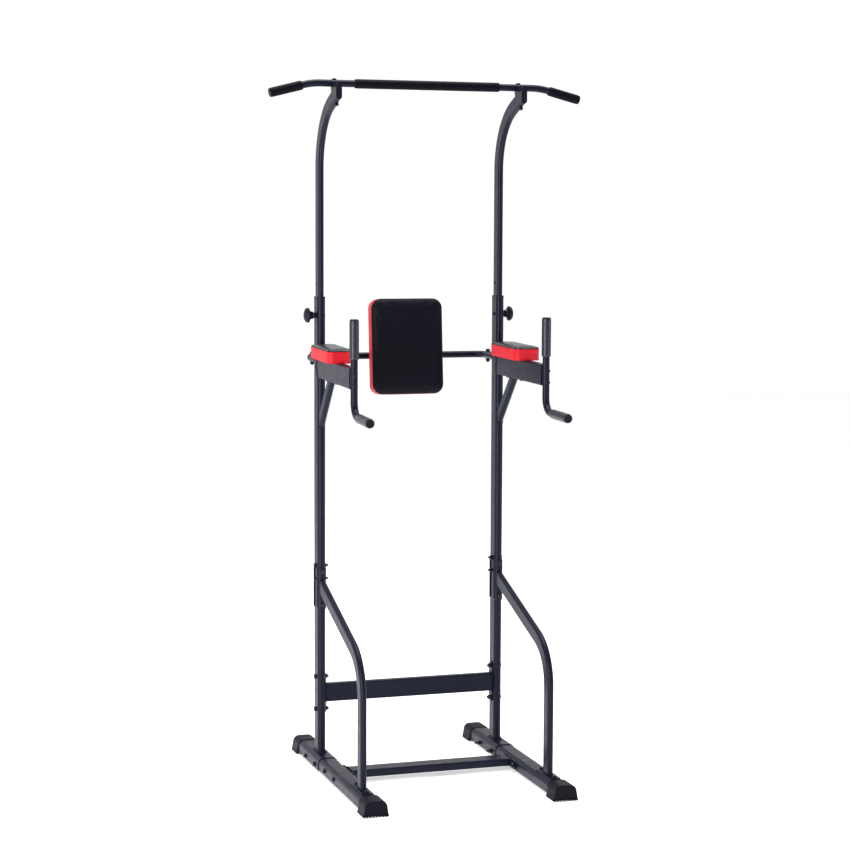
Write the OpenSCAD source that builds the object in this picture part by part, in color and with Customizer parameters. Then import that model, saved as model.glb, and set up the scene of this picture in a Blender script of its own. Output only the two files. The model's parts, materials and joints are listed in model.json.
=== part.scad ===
// Power tower: pull-up bar, dip handles, forearm pads and backrest on a
// bolted steel frame, with two telescoping posts held by pull pins.
// Origin: centre of the footprint, on the floor. -Y is the front, +Z is
// up, and +X is to the right as seen from the front.

/* [Frame] */
// Distance between the two upright centres
upright_gap = 600; // [560:10:640]
// Length of the base from sole to sole
base_depth = 868; // [840:4:900]
// Distance from the uprights' centre to the rear end of the base
rear_reach = 222; // [210:2:240]
// Top of the fixed uprights, with the guide bush
sleeve_top = 1512; // [1500:2:1530]
// Width of the flat-oval upright tube, left to right
upright_w = 26; // [26:1:28]
// Depth of the flat-oval upright tube, front to back
upright_d = 60; // [60:1:62]

/* [Base] */
// Width of the rear base tube
base_w = 66; // [64:1:68]
// Height of the rear base tube
base_h = 41; // [40:0.5:42]
// Wall of the base tubes
base_wall = 1.8; // [1.5:0.1:2]
// Width of the sole of each foot cap
sole_w = 80; // [78:1:84]
// Length of each foot cap
cap_len = 74; // [70:1:78]
// Height of the rear crossbar's centre above the floor
rear_bar_z = 237; // [225:1:250]

/* [Mast] */
// Height of the pull-up bar's axis above the floor
bar_z = 2169.5; // [2165:0.5:2175]
// Distance from the uprights' centre forward to the pull-up bar
bar_fwd = 177; // [174:1:180]
// Overall width of the pull-up bar
bar_span = 1010; // [980:10:1040]
// Slope of the bar's two ends below level
bar_droop = 14.3; // [10:0.1:18]
// Angle through which the top of each post bends forward
post_bend = 69; // [68:0.5:70]
// Distance between adjusting holes in the posts
hole_pitch = 50; // [50:1:50]

/* [Arms and backrest] */
// Height of the forearm beam's centre at the upright
arm_z = 1289; // [1270:1:1300]
// Slope of the forearm beams, down towards the front
arm_tilt = 1.3; // [0:0.1:2]
// Angle by which the forearm beams spread outward
arm_splay = 0.9; // [0:0.1:1.5]
// Distance from the uprights' centre forward to the dip handles
handle_fwd = 424; // [415:1:435]
// Length of the forearm pads
arm_pad_len = 239; // [220:1:245]
// Width of the forearm pads
arm_pad_w = 86; // [80:1:90]
// Backward lean of the backrest pad
back_lean = 4.5; // [0:0.5:6]
// Width of the backrest pad
back_w = 241; // [230:1:260]
// Height of the backrest pad
back_h = 311; // [300:1:330]

/* [Hidden] */
$fn = 64;

frame_paint = "#2f323b";
foam_black = "#1b1c20";
plastic_black = "#17181b";
bolt_black = "#3a3c42";
vinyl_red = "#c8202e";
vinyl_black = "#16171c";
board_wood = "#8a6a48";

eps = 0.5;
slip = 0.2;
hair = 0.05;
lap = 1;
side_x = upright_gap / 2;
upright_y = base_depth / 2 - rear_reach;

// Base tubes: the front section slides inside the rear one
sole_t = 5;
sole_edge = 3;
rear_tube_z = sole_t;
rear_tube_top = rear_tube_z + base_h;
front_w = base_w - 2 * base_wall - 2 * slip;
front_h = base_h - 2 * base_wall - 2 * slip;
front_tube_z = rear_tube_z + base_wall + slip;
front_tube_top = front_tube_z + front_h;
top_round = 18;
low_round = 3;
cap_wall = 2;
cap_end = 4;
tooth_pitch = 8;
tooth_depth = 2;
rear_tube_y0 = upright_y - 98;
rear_tube_y1 = base_depth / 2 - sole_edge - cap_end;
front_tube_y0 = -rear_tube_y1;
front_tube_y1 = upright_y + 78;
sleeve_bolt_y = [upright_y - 55, upright_y + 60];
sleeve_bolt_z = 17;

// Fasteners
bolt_d = 8;
bolt_hole = 8.6;
hex_af = 13;
head_h = 5.3;
nut_h = 6.5;
washer_d = 16;
washer_h = 1.6;
plate_t = 4;
plate_pitch = 106;
plate_end = 14;
pad_bolt_d = 6;

// Crossbars
cross_h = 60;
cross_t = 25;
cross_wall = 1.8;
cross_round = 5;
front_bar_y = upright_y - 223;
front_bar_z = 27;
front_plate_z = 24;
front_bolt_z = 24;

// Uprights
tube_wall = 2;
inner_w = upright_w - 2 * tube_wall;
inner_d = upright_d - 2 * tube_wall;
half_w = upright_w / 2;
half_d = upright_d / 2;
collar_h = 5;
collar_t = 3.5;
joint_z = 622;
joint_bolt_z = [609, 651];
brace_plate_z = 581;
brace_bolt_z = [brace_plate_z - plate_pitch / 2, brace_plate_z + plate_pitch / 2];
spigot_z = [500, 700];
spigot_wall = 2;
pin_z = 1453;

// Guide bush and telescoping post
post_w = 18;
post_d = 50;
post_wall = 1.8;
post_bottom = 1262;
post_r = 208;
post_bend_z = 1914;
post_run = 130;
post_front = 229;
post_holes = 2;
bush_z = 1412;
bush_flange = 7;
bush_lip = 0.6;
stud_out = 4.5;
plug_t = 3;
plug_depth = 20;

// Pull pin
pin_d = 9;
pin_bore = 9.1;
pin_hole = 10;
pin_tip_gap = 0.4;
boss_af = 16;
boss_len = 7;
knob_d = 48;
knob_gap = 2;
knob_len = 29.4;
knob_socket = 9;
pin_grip = 22;

// Pull-up bar
tube_d = 22;
round_wall = 1.8;
foam_d = 29;
bar_knee = 372;
bar_bend_r = 220;
centre_half = 235;
end_grip_start = 381;

// Brace
brace_d = 48;
brace_w = 20;
brace_fwd = 489;
brace_r = 146;
brace_drop = 19.6;
brace_top_z = 586;
brace_plate_t = 3;
foot_plate_t = 4;
foot_plate_w = 34;

// Arms
beam_h = 66;
beam_w = 25;
beam_wall = 2;
beam_round = 5;
beam_end_plate = 4;
beam_front = handle_fwd - tube_d / 2;
handle_bolt_z = [1258.5, 1294];
strut_w = 20;
strut_d = 36;
strut_wall = 1.8;
strut_angle = 47.5;
strut_foot_z = 1096;
pad_gap = 6;
arm_pad_h = 43;
arm_pad_round = 18;
board_t = 10;
board_inset = 4;
pad_bolt_y = [-70, -190];

// Dip handles
handle_top = 1455;
upper_grip_z = 1337;
grip_axis_z = 1166;
handle_bend_r = 45;
grip_droop = 2;
lower_grip_start = 14;
lower_grip_len = 122;
lower_run = 136;

// Backrest
stub_d = 25.6;
stub_bore = 22.3;
stub_len = 80;
back_bar_z = 1313;
back_bar_y = upright_y + 142;
back_bend_r = 35;
stub_bolt_y = upright_y + 92;
back_leg = 62;
back_pad_front = 6;
back_pad_t = 54;
back_pad_z = 1346;
back_round = 32;
back_board_t = 12;
bracket_t = 4;
bracket_w = 180;
bracket_h = 90;
lug_x = 55;
lug_t = 6;
lug_h = 44;
screw_pitch_x = 140;
screw_pitch_z = 60;

// ---- 2D sections ----

module flat_oval(long, wide) {
    square([long - wide, wide], center = true);
    for (s = [-1, 1]) translate([s * (long - wide) / 2, 0]) circle(d = wide);
}

module rounded_box(w, h, r) {
    square([w - 2 * r, h], center = true);
    square([w, h - 2 * r], center = true);
    for (sx = [-1, 1], sy = [-1, 1])
        translate([sx * (w / 2 - r), sy * (h / 2 - r)]) circle(r = r);
}

// Tube with a flat floor, big round upper corners and small lower ones
module arch_section(w, h, rt, rb) {
    translate([-w / 2, rb]) square([w, h - rt - rb]);
    translate([-w / 2 + rb, 0]) square([w - 2 * rb, h - rt]);
    translate([-w / 2 + rt, rb]) square([w - 2 * rt, h - rb]);
    for (s = [-1, 1]) {
        translate([s * (w / 2 - rt), h - rt]) circle(r = rt);
        translate([s * (w / 2 - rb), rb]) circle(r = rb);
    }
}

module ring(outer, inner) {
    difference() {
        circle(d = outer);
        circle(d = inner);
    }
}

// Straight stretches are a hair slimmer than the bends, and reach a little
// way into them, so that the two join as one body
module round_tube(hair = 0) {
    ring(tube_d - 2 * hair, tube_d - 2 * round_wall + 2 * hair);
}

module oval_tube(long, wide, wall, hair = 0) {
    difference() {
        flat_oval(long - 2 * hair, wide - 2 * hair);
        flat_oval(long - 2 * wall + 2 * hair, wide - 2 * wall + 2 * hair);
    }
}

// ---- Placing and sweeping ----

// The left half is the mirror image of the right half, which is at +X
module left() {
    mirror([1, 0, 0]) children();
}

module both_sides() {
    children();
    mirror([1, 0, 0]) children();
}

module along_y(y0, y1) {
    translate([0, y1, 0]) rotate([90, 0, 0]) linear_extrude(y1 - y0) children();
}

module along_x(x0, x1) {
    translate([x0, 0, 0]) rotate([90, 0, 90]) linear_extrude(x1 - x0) children();
}

// Straight stretch of a swept tube, heading +Z, section x towards +Y
module run_up(len) {
    rotate([0, 0, 90]) linear_extrude(len) children();
}

// Bend that starts at the origin heading +Z and turns towards -Y
module bend_forward(r, a) {
    translate([0, -r, 0]) rotate([90, 0, 90]) rotate_extrude(angle = a, $fn = 128)
        translate([r, 0]) children();
}

module after_bend(r, a) {
    translate([0, -r * (1 - cos(a)), r * sin(a)]) rotate([a, 0, 0]) children();
}

// Hole along X, Y or Z through the point where it is placed
module hole_x(d, len) {
    rotate([0, 90, 0]) cylinder(h = len, d = d, center = true);
}

module hole_y(d, len) {
    rotate([90, 0, 0]) cylinder(h = len, d = d, center = true);
}

module at_upright() {
    translate([side_x, upright_y, 0]) children();
}

// ---- Fasteners: head below the origin, shank along +Z, nut past the grip ----

module bolt(grip, tail = 3) {
    hex_d = hex_af / cos(30);
    translate([0, 0, -washer_h - head_h]) cylinder(h = head_h, d = hex_d, $fn = 6);
    translate([0, 0, -washer_h]) cylinder(h = washer_h, d = washer_d);
    translate([0, 0, -washer_h]) cylinder(h = 2 * washer_h + grip + nut_h + tail, d = bolt_d);
    translate([0, 0, grip]) cylinder(h = washer_h, d = washer_d);
    translate([0, 0, grip + washer_h]) cylinder(h = nut_h, d = hex_d, $fn = 6);
}

// Bolt along X with its head on the outer side, from x1 in to x0
module bolt_x(x0, x1, tail = 4) {
    translate([x1, 0, 0]) rotate([0, -90, 0]) bolt(x1 - x0, tail);
}

// ---- Base ----

module rear_base_tube() {
    color(frame_paint) difference() {
        translate([side_x, 0, rear_tube_z]) along_y(rear_tube_y0, rear_tube_y1)
            arch_section(base_w, base_h, top_round, low_round);
        translate([side_x, 0, rear_tube_z + base_wall])
            along_y(rear_tube_y0 - eps, rear_tube_y1 + eps)
            arch_section(base_w - 2 * base_wall, base_h - 2 * base_wall,
                top_round - base_wall, low_round - base_wall);
        for (y = sleeve_bolt_y) translate([side_x, y, sleeve_bolt_z]) hole_x(bolt_hole, base_w + 2);
    }
}

module front_base_tube() {
    round_out = top_round - base_wall - slip;
    color(frame_paint) difference() {
        translate([side_x, 0, front_tube_z]) along_y(front_tube_y0, front_tube_y1)
            arch_section(front_w, front_h, round_out, low_round - base_wall);
        translate([side_x, 0, front_tube_z + base_wall])
            along_y(front_tube_y0 - eps, front_tube_y1 + eps)
            arch_section(front_w - 2 * base_wall, front_h - 2 * base_wall,
                round_out - base_wall, low_round - base_wall);
        for (y = sleeve_bolt_y) translate([side_x, y, sleeve_bolt_z]) hole_x(bolt_hole, base_w);
        for (s = [-1, 1]) {
            translate([side_x, front_bar_y + s * plate_pitch / 2, front_bolt_z])
                hole_x(bolt_hole, base_w);
            translate([side_x, foot_plate_y() + s * plate_pitch / 2, front_tube_top])
                cylinder(h = 10, d = bolt_hole, center = true);
        }
    }
}

// Moulded cap over the end of a base tube
module foot_cap(tube_z, tube_w, tube_h, round_high, round_low) {
    outer_w = base_w + 2 * cap_wall;
    outer_h = rear_tube_top + cap_wall;
    end_y = base_depth / 2;
    color(plastic_black) difference() {
        translate([side_x, 0, 0]) union() {
            along_y(end_y - cap_len, end_y - sole_edge)
                arch_section(outer_w, outer_h, top_round + cap_wall, 1);
            translate([0, end_y - cap_len / 2 - 1, 0]) linear_extrude(sole_t)
                rounded_box(sole_w, cap_len + 2, 6);
        }
        translate([side_x, 0, tube_z - slip / 2])
            along_y(end_y - cap_len - 5, end_y - sole_edge - cap_end)
            arch_section(tube_w + slip, tube_h + slip, round_high, round_low);
        // Grip grooves under the sole, and teeth along its two long edges
        for (i = [-4 : 4]) {
            translate([side_x + i * tooth_pitch - tooth_pitch / 4, end_y - cap_len - 5, -1])
                cube([tooth_pitch / 2, cap_len + 10, 1 + tooth_depth]);
            for (s = [-1, 1]) translate([side_x + s * sole_w / 2 - 3,
                end_y - cap_len / 2 + i * tooth_pitch - tooth_pitch / 4, -1])
                cube([6, tooth_pitch / 2, 1 + tooth_depth]);
        }
    }
}

module rear_foot_cap() {
    foot_cap(rear_tube_z, base_w, base_h, top_round, low_round);
}

module front_foot_cap() {
    mirror([0, 1, 0]) foot_cap(front_tube_z, front_w, front_h,
        top_round - base_wall - slip, low_round - base_wall);
}

// ---- Crossbars: tube with a bolting plate at each end ----

module end_plate_section() {
    square([plate_pitch, 2 * plate_end], center = true);
    for (s = [-1, 1]) translate([s * plate_pitch / 2, 0]) circle(r = plate_end);
}

module crossbar(half_len) {
    difference() {
        union() {
            along_x(-half_len + plate_t, half_len - plate_t) difference() {
                rounded_box(cross_h, cross_t, cross_round);
                rounded_box(cross_h - 2 * cross_wall, cross_t - 2 * cross_wall,
                    cross_round - cross_wall);
            }
            both_sides() along_x(half_len - plate_t, half_len) end_plate_section();
        }
        both_sides() for (s = [-1, 1]) translate([half_len, s * plate_pitch / 2, 0])
            hole_x(bolt_hole, 3 * plate_t);
    }
}

module front_crossbar() {
    half = side_x - front_w / 2;
    color(frame_paint) difference() {
        union() {
            translate([0, front_bar_y, front_bar_z]) along_x(-half + plate_t, half - plate_t)
                difference() {
                    rounded_box(cross_h, cross_t, cross_round);
                    rounded_box(cross_h - 2 * cross_wall, cross_t - 2 * cross_wall,
                        cross_round - cross_wall);
                }
            both_sides() translate([0, front_bar_y, front_plate_z])
                along_x(half - plate_t, half) end_plate_section();
        }
        both_sides() for (s = [-1, 1])
            translate([half, front_bar_y + s * plate_pitch / 2, front_bolt_z])
            hole_x(bolt_hole, 3 * plate_t);
    }
}

module rear_crossbar() {
    color(frame_paint) translate([0, upright_y, rear_bar_z]) rotate([90, 0, 0])
        crossbar(side_x - half_w);
}

// ---- Uprights ----

module upright_outline(w = upright_w, d = upright_d) {
    rotate([0, 0, 90]) flat_oval(d, w);
}

module upright_solid(z0, z1, w = upright_w, d = upright_d) {
    translate([0, 0, z0]) linear_extrude(z1 - z0) upright_outline(w, d);
}

module lower_upright() {
    color(frame_paint) at_upright() difference() {
        union() {
            upright_solid(rear_tube_top, joint_z);
            upright_solid(rear_tube_top, rear_tube_top + collar_h,
                upright_w + 2 * collar_t, upright_d + 2 * collar_t);
        }
        upright_solid(rear_tube_top - 1, joint_z + 1, inner_w, inner_d);
        for (s = [-1, 1]) translate([0, 0, rear_bar_z + s * plate_pitch / 2])
            hole_x(bolt_hole, upright_w + 4);
        translate([0, 0, brace_bolt_z[0]]) hole_y(bolt_hole, upright_d + 4);
        translate([0, 0, joint_bolt_z[0]]) hole_x(bolt_hole, upright_w + 4);
    }
}

module upper_upright() {
    color(frame_paint) at_upright() difference() {
        upright_solid(joint_z, sleeve_top - bush_flange);
        upright_solid(joint_z - 1, sleeve_top, inner_w, inner_d);
        translate([0, 0, joint_bolt_z[1]]) hole_x(bolt_hole, upright_w + 4);
        translate([0, 0, brace_bolt_z[1]]) hole_y(bolt_hole, upright_d + 4);
        translate([half_w, 0, pin_z]) hole_x(pin_hole, 10);
        translate([-half_w, 0, pin_z]) hole_x(pin_hole, 10);
    }
}

module joint_spigots() {
    w = inner_w - 2 * slip;
    d = inner_d - 2 * slip;
    color("#6d7078") both_sides() at_upright() difference() {
        upright_solid(spigot_z[0], spigot_z[1], w, d);
        upright_solid(spigot_z[0] - 1, spigot_z[1] + 1, w - 2 * spigot_wall, d - 2 * spigot_wall);
        for (z = joint_bolt_z) translate([0, 0, z]) hole_x(bolt_hole, upright_w);
        for (z = brace_bolt_z) translate([0, 0, z]) hole_y(bolt_hole, upright_d);
    }
}

module guide_bush() {
    w = inner_w - slip;
    d = inner_d - slip;
    color(plastic_black) at_upright() difference() {
        union() {
            upright_solid(bush_z, sleeve_top - bush_flange, w, d);
            upright_solid(sleeve_top - bush_flange, sleeve_top,
                upright_w + 2 * bush_lip, upright_d + 2 * bush_lip);
            // Locating stud that stands out through the upright's inner wall
            translate([-half_w - stud_out, 0, pin_z]) rotate([0, 90, 0])
                cylinder(h = stud_out + 2.5, d = pin_hole - 0.4);
        }
        upright_solid(bush_z - 1, sleeve_top + 1, post_w + 2 * slip, post_d + 2 * slip);
        translate([half_w, 0, pin_z]) hole_x(pin_hole, 12);
    }
}

// ---- Pull pins ----

// Hexagonal guide nut on the outer face of each upright
module pin_bosses() {
    color(bolt_black) both_sides() at_upright() translate([half_w, 0, pin_z]) rotate([0, 90, 0])
        difference() {
            cylinder(h = boss_len, d = boss_af / cos(30), $fn = 6);
            translate([0, 0, -1]) cylinder(h = boss_len + 2, d = pin_bore);
        }
}

module pull_pin() {
    tip = post_w / 2 + pin_tip_gap;
    tail = half_w + boss_len + knob_gap + pin_grip;
    chamfer = 1.5;
    color("#9a9da3") at_upright() translate([tip, 0, pin_z]) rotate([0, 90, 0]) union() {
        cylinder(h = chamfer, d1 = pin_d - 2 * chamfer, d2 = pin_d);
        translate([0, 0, chamfer]) cylinder(h = tail - tip - chamfer, d = pin_d);
    }
}

// Domed knob with a hollow neck that passes over the guide nut
module pull_knob() {
    rim = knob_d / 2;
    neck = rim / 2;
    color(plastic_black) at_upright() translate([half_w + boss_len + knob_gap, 0, pin_z])
        rotate([0, 90, 0]) difference() {
            rotate_extrude() polygon([
                [0, 0], [neck - 0.7, 0], [neck, 0.7], [neck + 1, 7], [neck + 3, 10],
                [rim - 4, 11.8], [rim - 1, 13.2], [rim, 15.2], [rim, 17.5], [rim - 0.8, 20.3],
                [rim - 2.8, 23], [rim - 6, 25.6], [rim - 10.5, 27.6], [rim - 16, 28.9], [0, knob_len]
            ]);
            translate([0, 0, -1]) cylinder(h = knob_socket + 1, d = boss_af / cos(30) + 1);
            translate([0, 0, -1]) cylinder(h = pin_grip + 1.3, d = pin_bore);
        }
}

// ---- Braces ----

function foot_plate_y() = upright_y - brace_fwd;
function brace_turn() = 90 - brace_drop;
function brace_slope_len() =
    (brace_fwd - half_d - brace_plate_t - brace_r * (1 - cos(brace_turn()))) / cos(brace_drop);
function brace_rise() =
    brace_top_z - brace_r * sin(brace_turn()) - brace_slope_len() * sin(brace_drop);

// Vertical stretch, bend and sloping stretch, in a frame that faces backwards
module brace_path() {
    foot = front_tube_top + foot_plate_t - lap;
    translate([0, 0, foot]) run_up(brace_rise() - foot + lap)
        oval_tube(brace_d, brace_w, post_wall, hair);
    translate([0, 0, brace_rise()]) {
        bend_forward(brace_r, brace_turn()) oval_tube(brace_d, brace_w, post_wall);
        after_bend(brace_r, brace_turn()) translate([0, 0, -lap])
            run_up(brace_slope_len() + lap + 14) oval_tube(brace_d, brace_w, post_wall, hair);
    }
}

module wrap_plate_section(t) {
    difference() {
        upright_outline(upright_w + 2 * t, upright_d + 2 * t);
        upright_outline();
        translate([-50, -(half_d - half_w) + 4]) square([100, 100]);
    }
}

// Plate that wraps the front of the upright, ends rounded off
module wrap_plate(t) {
    intersection() {
        translate([0, 0, brace_plate_z - plate_pitch / 2 - plate_end])
            linear_extrude(plate_pitch + 2 * plate_end) wrap_plate_section(t);
        translate([0, 0, brace_plate_z]) rotate([90, 90, 0]) linear_extrude(100, center = true) {
            square([plate_pitch, 2 * plate_end + 8], center = true);
            for (s = [-1, 1]) translate([s * plate_pitch / 2, 0]) circle(r = plate_end + 4);
        }
    }
}

module brace() {
    color(frame_paint) difference() {
        union() {
            difference() {
                translate([side_x, upright_y - brace_fwd, 0]) rotate([0, 0, 180]) brace_path();
                at_upright() upright_solid(400, 800, upright_w + 2, upright_d + 2);
            }
            at_upright() wrap_plate(brace_plate_t);
            translate([side_x, foot_plate_y(), front_tube_top]) linear_extrude(foot_plate_t)
                rotate([0, 0, 90]) rounded_box(plate_pitch + 28, foot_plate_w, 8);
        }
        at_upright() for (z = brace_bolt_z) translate([0, -half_d, z]) hole_y(bolt_hole, 20);
        for (s = [-1, 1]) translate([side_x, foot_plate_y() + s * plate_pitch / 2, front_tube_top])
            cylinder(h = 20, d = bolt_hole, center = true);
    }
}

module brace_back_plates() {
    color(frame_paint) both_sides() at_upright() difference() {
        mirror([0, 1, 0]) wrap_plate(brace_plate_t);
        for (z = brace_bolt_z) translate([0, half_d, z]) hole_y(bolt_hole, 20);
    }
}

// ---- Forearm rests ----

module arm_yaw() {
    at_upright() rotate([0, 0, arm_splay]) children();
}

module arm_frame() {
    arm_yaw() translate([0, -half_d, arm_z]) rotate([arm_tilt, 0, 0]) children();
}

module arm_beam() {
    reach = beam_front - half_d;
    color(frame_paint) difference() {
        arm_frame() along_y(-reach - 5, 12) rounded_box(beam_w, beam_h, beam_round);
        arm_frame() along_y(-reach + beam_end_plate, 15) rounded_box(beam_w - 2 * beam_wall,
            beam_h - 2 * beam_wall, beam_round - beam_wall);
        at_upright() upright_solid(1200, 1400);
        arm_yaw() translate([-50, -beam_front - 100, 1200]) cube([100, 100, 200]);
        arm_yaw() for (z = handle_bolt_z) translate([0, -beam_front, z]) hole_y(bolt_hole, 30);
        arm_frame() for (y = pad_bolt_y) translate([0, y, 0])
            cylinder(h = beam_h + 4, d = pad_bolt_d + 0.6, center = true);
    }
}

// Flat-oval strut from the upright up to the beam's underside
module arm_strut() {
    color(frame_paint) difference() {
        arm_yaw() translate([0, -half_d, strut_foot_z]) rotate([90 - strut_angle, 0, 0])
            translate([0, strut_d / 2, -20]) run_up(300) oval_tube(strut_d, strut_w, strut_wall);
        at_upright() upright_solid(900, 1400);
        arm_frame() translate([-60, -400, -beam_h / 2]) cube([120, 500, 400]);
    }
}

module pad_outline(inset) {
    translate([0, -pad_gap - arm_pad_len / 2]) rounded_box(arm_pad_w - 2 * inset,
        arm_pad_len - 2 * inset, arm_pad_round - inset);
}

module arm_pad_board() {
    color(board_wood) arm_frame() difference() {
        translate([0, 0, beam_h / 2]) linear_extrude(board_t) pad_outline(board_inset);
        for (y = pad_bolt_y) translate([0, y, beam_h / 2])
            cylinder(h = 3 * board_t, d = pad_bolt_d + 0.2, center = true);
    }
}

module arm_pad() {
    color(vinyl_red) arm_frame() difference() {
        translate([0, 0, beam_h / 2]) linear_extrude(arm_pad_h) pad_outline(0);
        translate([0, 0, beam_h / 2 - 1]) linear_extrude(board_t + 4) pad_outline(board_inset - 0.3);
    }
}

// ---- Dip handles ----

// Frame at the top of the lower bend, heading down, so that the bend turns forward
module handle_frame() {
    bend_top = grip_axis_z + handle_bend_r;
    arm_yaw() translate([0, -handle_fwd, bend_top]) rotate([0, 180, 0]) children();
}

module handle_path() {
    rise = handle_top - grip_axis_z - handle_bend_r;
    turn = 90 - grip_droop;
    translate([0, 0, -rise]) run_up(rise + lap) round_tube(hair);
    bend_forward(handle_bend_r, turn) round_tube();
    after_bend(handle_bend_r, turn) translate([0, 0, -lap]) run_up(lower_run + lap) round_tube(hair);
}

module dip_handle() {
    color(frame_paint) difference() {
        handle_frame() handle_path();
        arm_yaw() for (z = handle_bolt_z) translate([0, -handle_fwd, z]) hole_y(bolt_hole, 60);
    }
}

module dip_upper_grip() {
    color(foam_black) arm_yaw() translate([0, -handle_fwd, upper_grip_z])
        linear_extrude(handle_top - upper_grip_z) ring(foam_d, tube_d);
}

module dip_lower_grip() {
    color(foam_black) handle_frame() after_bend(handle_bend_r, 90 - grip_droop)
        translate([0, 0, lower_grip_start]) linear_extrude(lower_grip_len) ring(foam_d, tube_d);
}

// Push-in plug: a thin head over the tube's end and a spigot inside
module tube_plug() {
    translate([0, 0, -12]) cylinder(h = 12, d = tube_d - 2 * round_wall - 0.2);
    cylinder(h = 1.5, d = foam_d - 2);
    translate([0, 0, 1.5]) cylinder(h = 1.5, d1 = foam_d - 2, d2 = foam_d - 7);
}

module dip_handle_plugs() {
    color(plastic_black) both_sides() {
        arm_yaw() translate([0, -handle_fwd, handle_top]) tube_plug();
        handle_frame() after_bend(handle_bend_r, 90 - grip_droop) translate([0, 0, lower_run])
            tube_plug();
    }
}

// ---- Backrest ----

module backrest_stubs() {
    color(frame_paint) both_sides() difference() {
        translate([side_x, 0, back_bar_z])
            along_y(upright_y + half_d - 11, upright_y + half_d - 3 + stub_len) ring(stub_d, stub_bore);
        at_upright() upright_solid(1200, 1400);
        translate([side_x, stub_bolt_y, back_bar_z]) cylinder(h = 60, d = bolt_hole, center = true);
    }
}

module back_bar_path() {
    leg_y = back_bar_y - back_bend_r;
    span = side_x - back_bend_r;
    translate([0, back_bar_y, back_bar_z]) along_x(-span - lap, span + lap) round_tube(hair);
    both_sides() {
        translate([span, leg_y, back_bar_z]) rotate_extrude(angle = 90, $fn = 128)
            translate([back_bend_r, 0]) round_tube();
        translate([side_x, 0, back_bar_z]) along_y(leg_y - back_leg, leg_y + lap) round_tube(hair);
    }
}

module backrest_bar() {
    color(frame_paint) difference() {
        back_bar_path();
        both_sides() translate([side_x, stub_bolt_y, back_bar_z])
            cylinder(h = 60, d = bolt_hole, center = true);
    }
}

// Frame of the backrest: origin at the pad's back face, tilted backwards
module back_frame() {
    translate([0, upright_y + back_pad_front + back_pad_t, back_pad_z]) rotate([-back_lean, 0, 0])
        children();
}

module back_outline(inset) {
    rounded_box(back_w - 2 * inset, back_h - 2 * inset, back_round - inset);
}

module backrest_board() {
    color(board_wood) back_frame() difference() {
        along_y(-back_board_t, 0) back_outline(board_inset);
        back_screws() hole_y(pad_bolt_d + 0.2, 60);
    }
}

module backrest_pad() {
    color(vinyl_black) back_frame() difference() {
        along_y(-back_pad_t, 0) back_outline(0);
        along_y(-back_board_t - 3, 1) back_outline(board_inset - 0.3);
    }
}

module back_screws() {
    for (sx = [-1, 1], sz = [-1, 1])
        translate([sx * screw_pitch_x / 2, 0, bracket_drop() + sz * screw_pitch_z / 2]) children();
}

function bracket_drop() = back_bar_z - back_pad_z;

// Plate on the board with two lugs that are welded to the bar
module backrest_bracket() {
    color(frame_paint) difference() {
        union() {
            back_frame() difference() {
                translate([0, 0, bracket_drop()]) along_y(0, bracket_t)
                    rounded_box(bracket_w, bracket_h, 8);
                back_screws() hole_y(pad_bolt_d + 0.6, 30);
            }
            difference() {
                for (s = [-1, 1]) translate([s * lug_x - lug_t / 2, upright_y + 50, back_bar_z - lug_h / 2])
                    cube([lug_t, 92, lug_h]);
                back_frame() translate([-150, -200 + bracket_t / 2, -200]) cube([300, 200, 400]);
            }
        }
        translate([0, back_bar_y, back_bar_z]) along_x(-150, 150) circle(d = tube_d);
    }
}

// ---- Mast: posts, pull-up bar and its fittings ----

module post_path() {
    translate([0, 0, post_bottom]) run_up(post_bend_z - post_bottom + lap)
        oval_tube(post_d, post_w, post_wall, hair);
    translate([0, 0, post_bend_z]) {
        bend_forward(post_r, post_bend) oval_tube(post_d, post_w, post_wall);
        after_bend(post_r, post_bend) translate([0, 0, -lap]) run_up(post_run + lap)
            oval_tube(post_d, post_w, post_wall, hair);
    }
}

// Frame at the bar's axis, with +Z square to the sloping end of the post
module bar_bolt_frame() {
    translate([side_x, upright_y - bar_fwd, bar_z]) rotate([post_bend - 90, 0, 0]) children();
}

module front_of_post() {
    translate([side_x - 50, upright_y - post_front - 200, 1900]) cube([100, 200, 400]);
}

module post() {
    color(frame_paint) difference() {
        at_upright() post_path();
        front_of_post();
        for (i = [-post_holes : post_holes])
            at_upright() translate([0, 0, pin_z + i * hole_pitch]) hole_x(pin_hole, post_w + 4);
        bar_bolt_frame() translate([0, 0, -50]) cylinder(h = 120, d = bolt_hole, center = true);
    }
}

// Cap on the open front end of each post, with a stem inside the tube
module post_end_plugs() {
    rise = 90 - post_bend;
    face_h = post_d / cos(rise);
    end_z = post_end_z();
    color(plastic_black) both_sides() translate([side_x, upright_y - post_front, end_z]) {
        along_y(-plug_t, 0) rotate([0, 0, 90]) flat_oval(face_h + 1, post_w + 1);
        intersection() {
            translate([-50, 0, -50]) cube([100, plug_depth, 100]);
            rotate([-rise, 0, 0]) along_y(-40, 60) rotate([0, 0, 90])
                flat_oval(post_d - 2 * post_wall - 0.4, post_w - 2 * post_wall - 0.4);
        }
    }
}

function post_end_z() =
    post_bend_z + post_r * sin(post_bend)
    + (post_front - post_r * (1 - cos(post_bend))) / tan(post_bend);

// Cradle between the sloping post and the bar
module bar_saddles() {
    color(frame_paint) both_sides() difference() {
        bar_bolt_frame() translate([-8, -17, -24]) cube([16, 34, 22]);
        at_upright() translate([0, 0, post_bend_z]) after_bend(post_r, post_bend) run_up(post_run)
            flat_oval(post_d, post_w);
        translate([0, upright_y - bar_fwd, bar_z]) along_x(0, 400) circle(d = tube_d);
        bar_bolt_frame() cylinder(h = 80, d = bolt_hole, center = true);
    }
}

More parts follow.
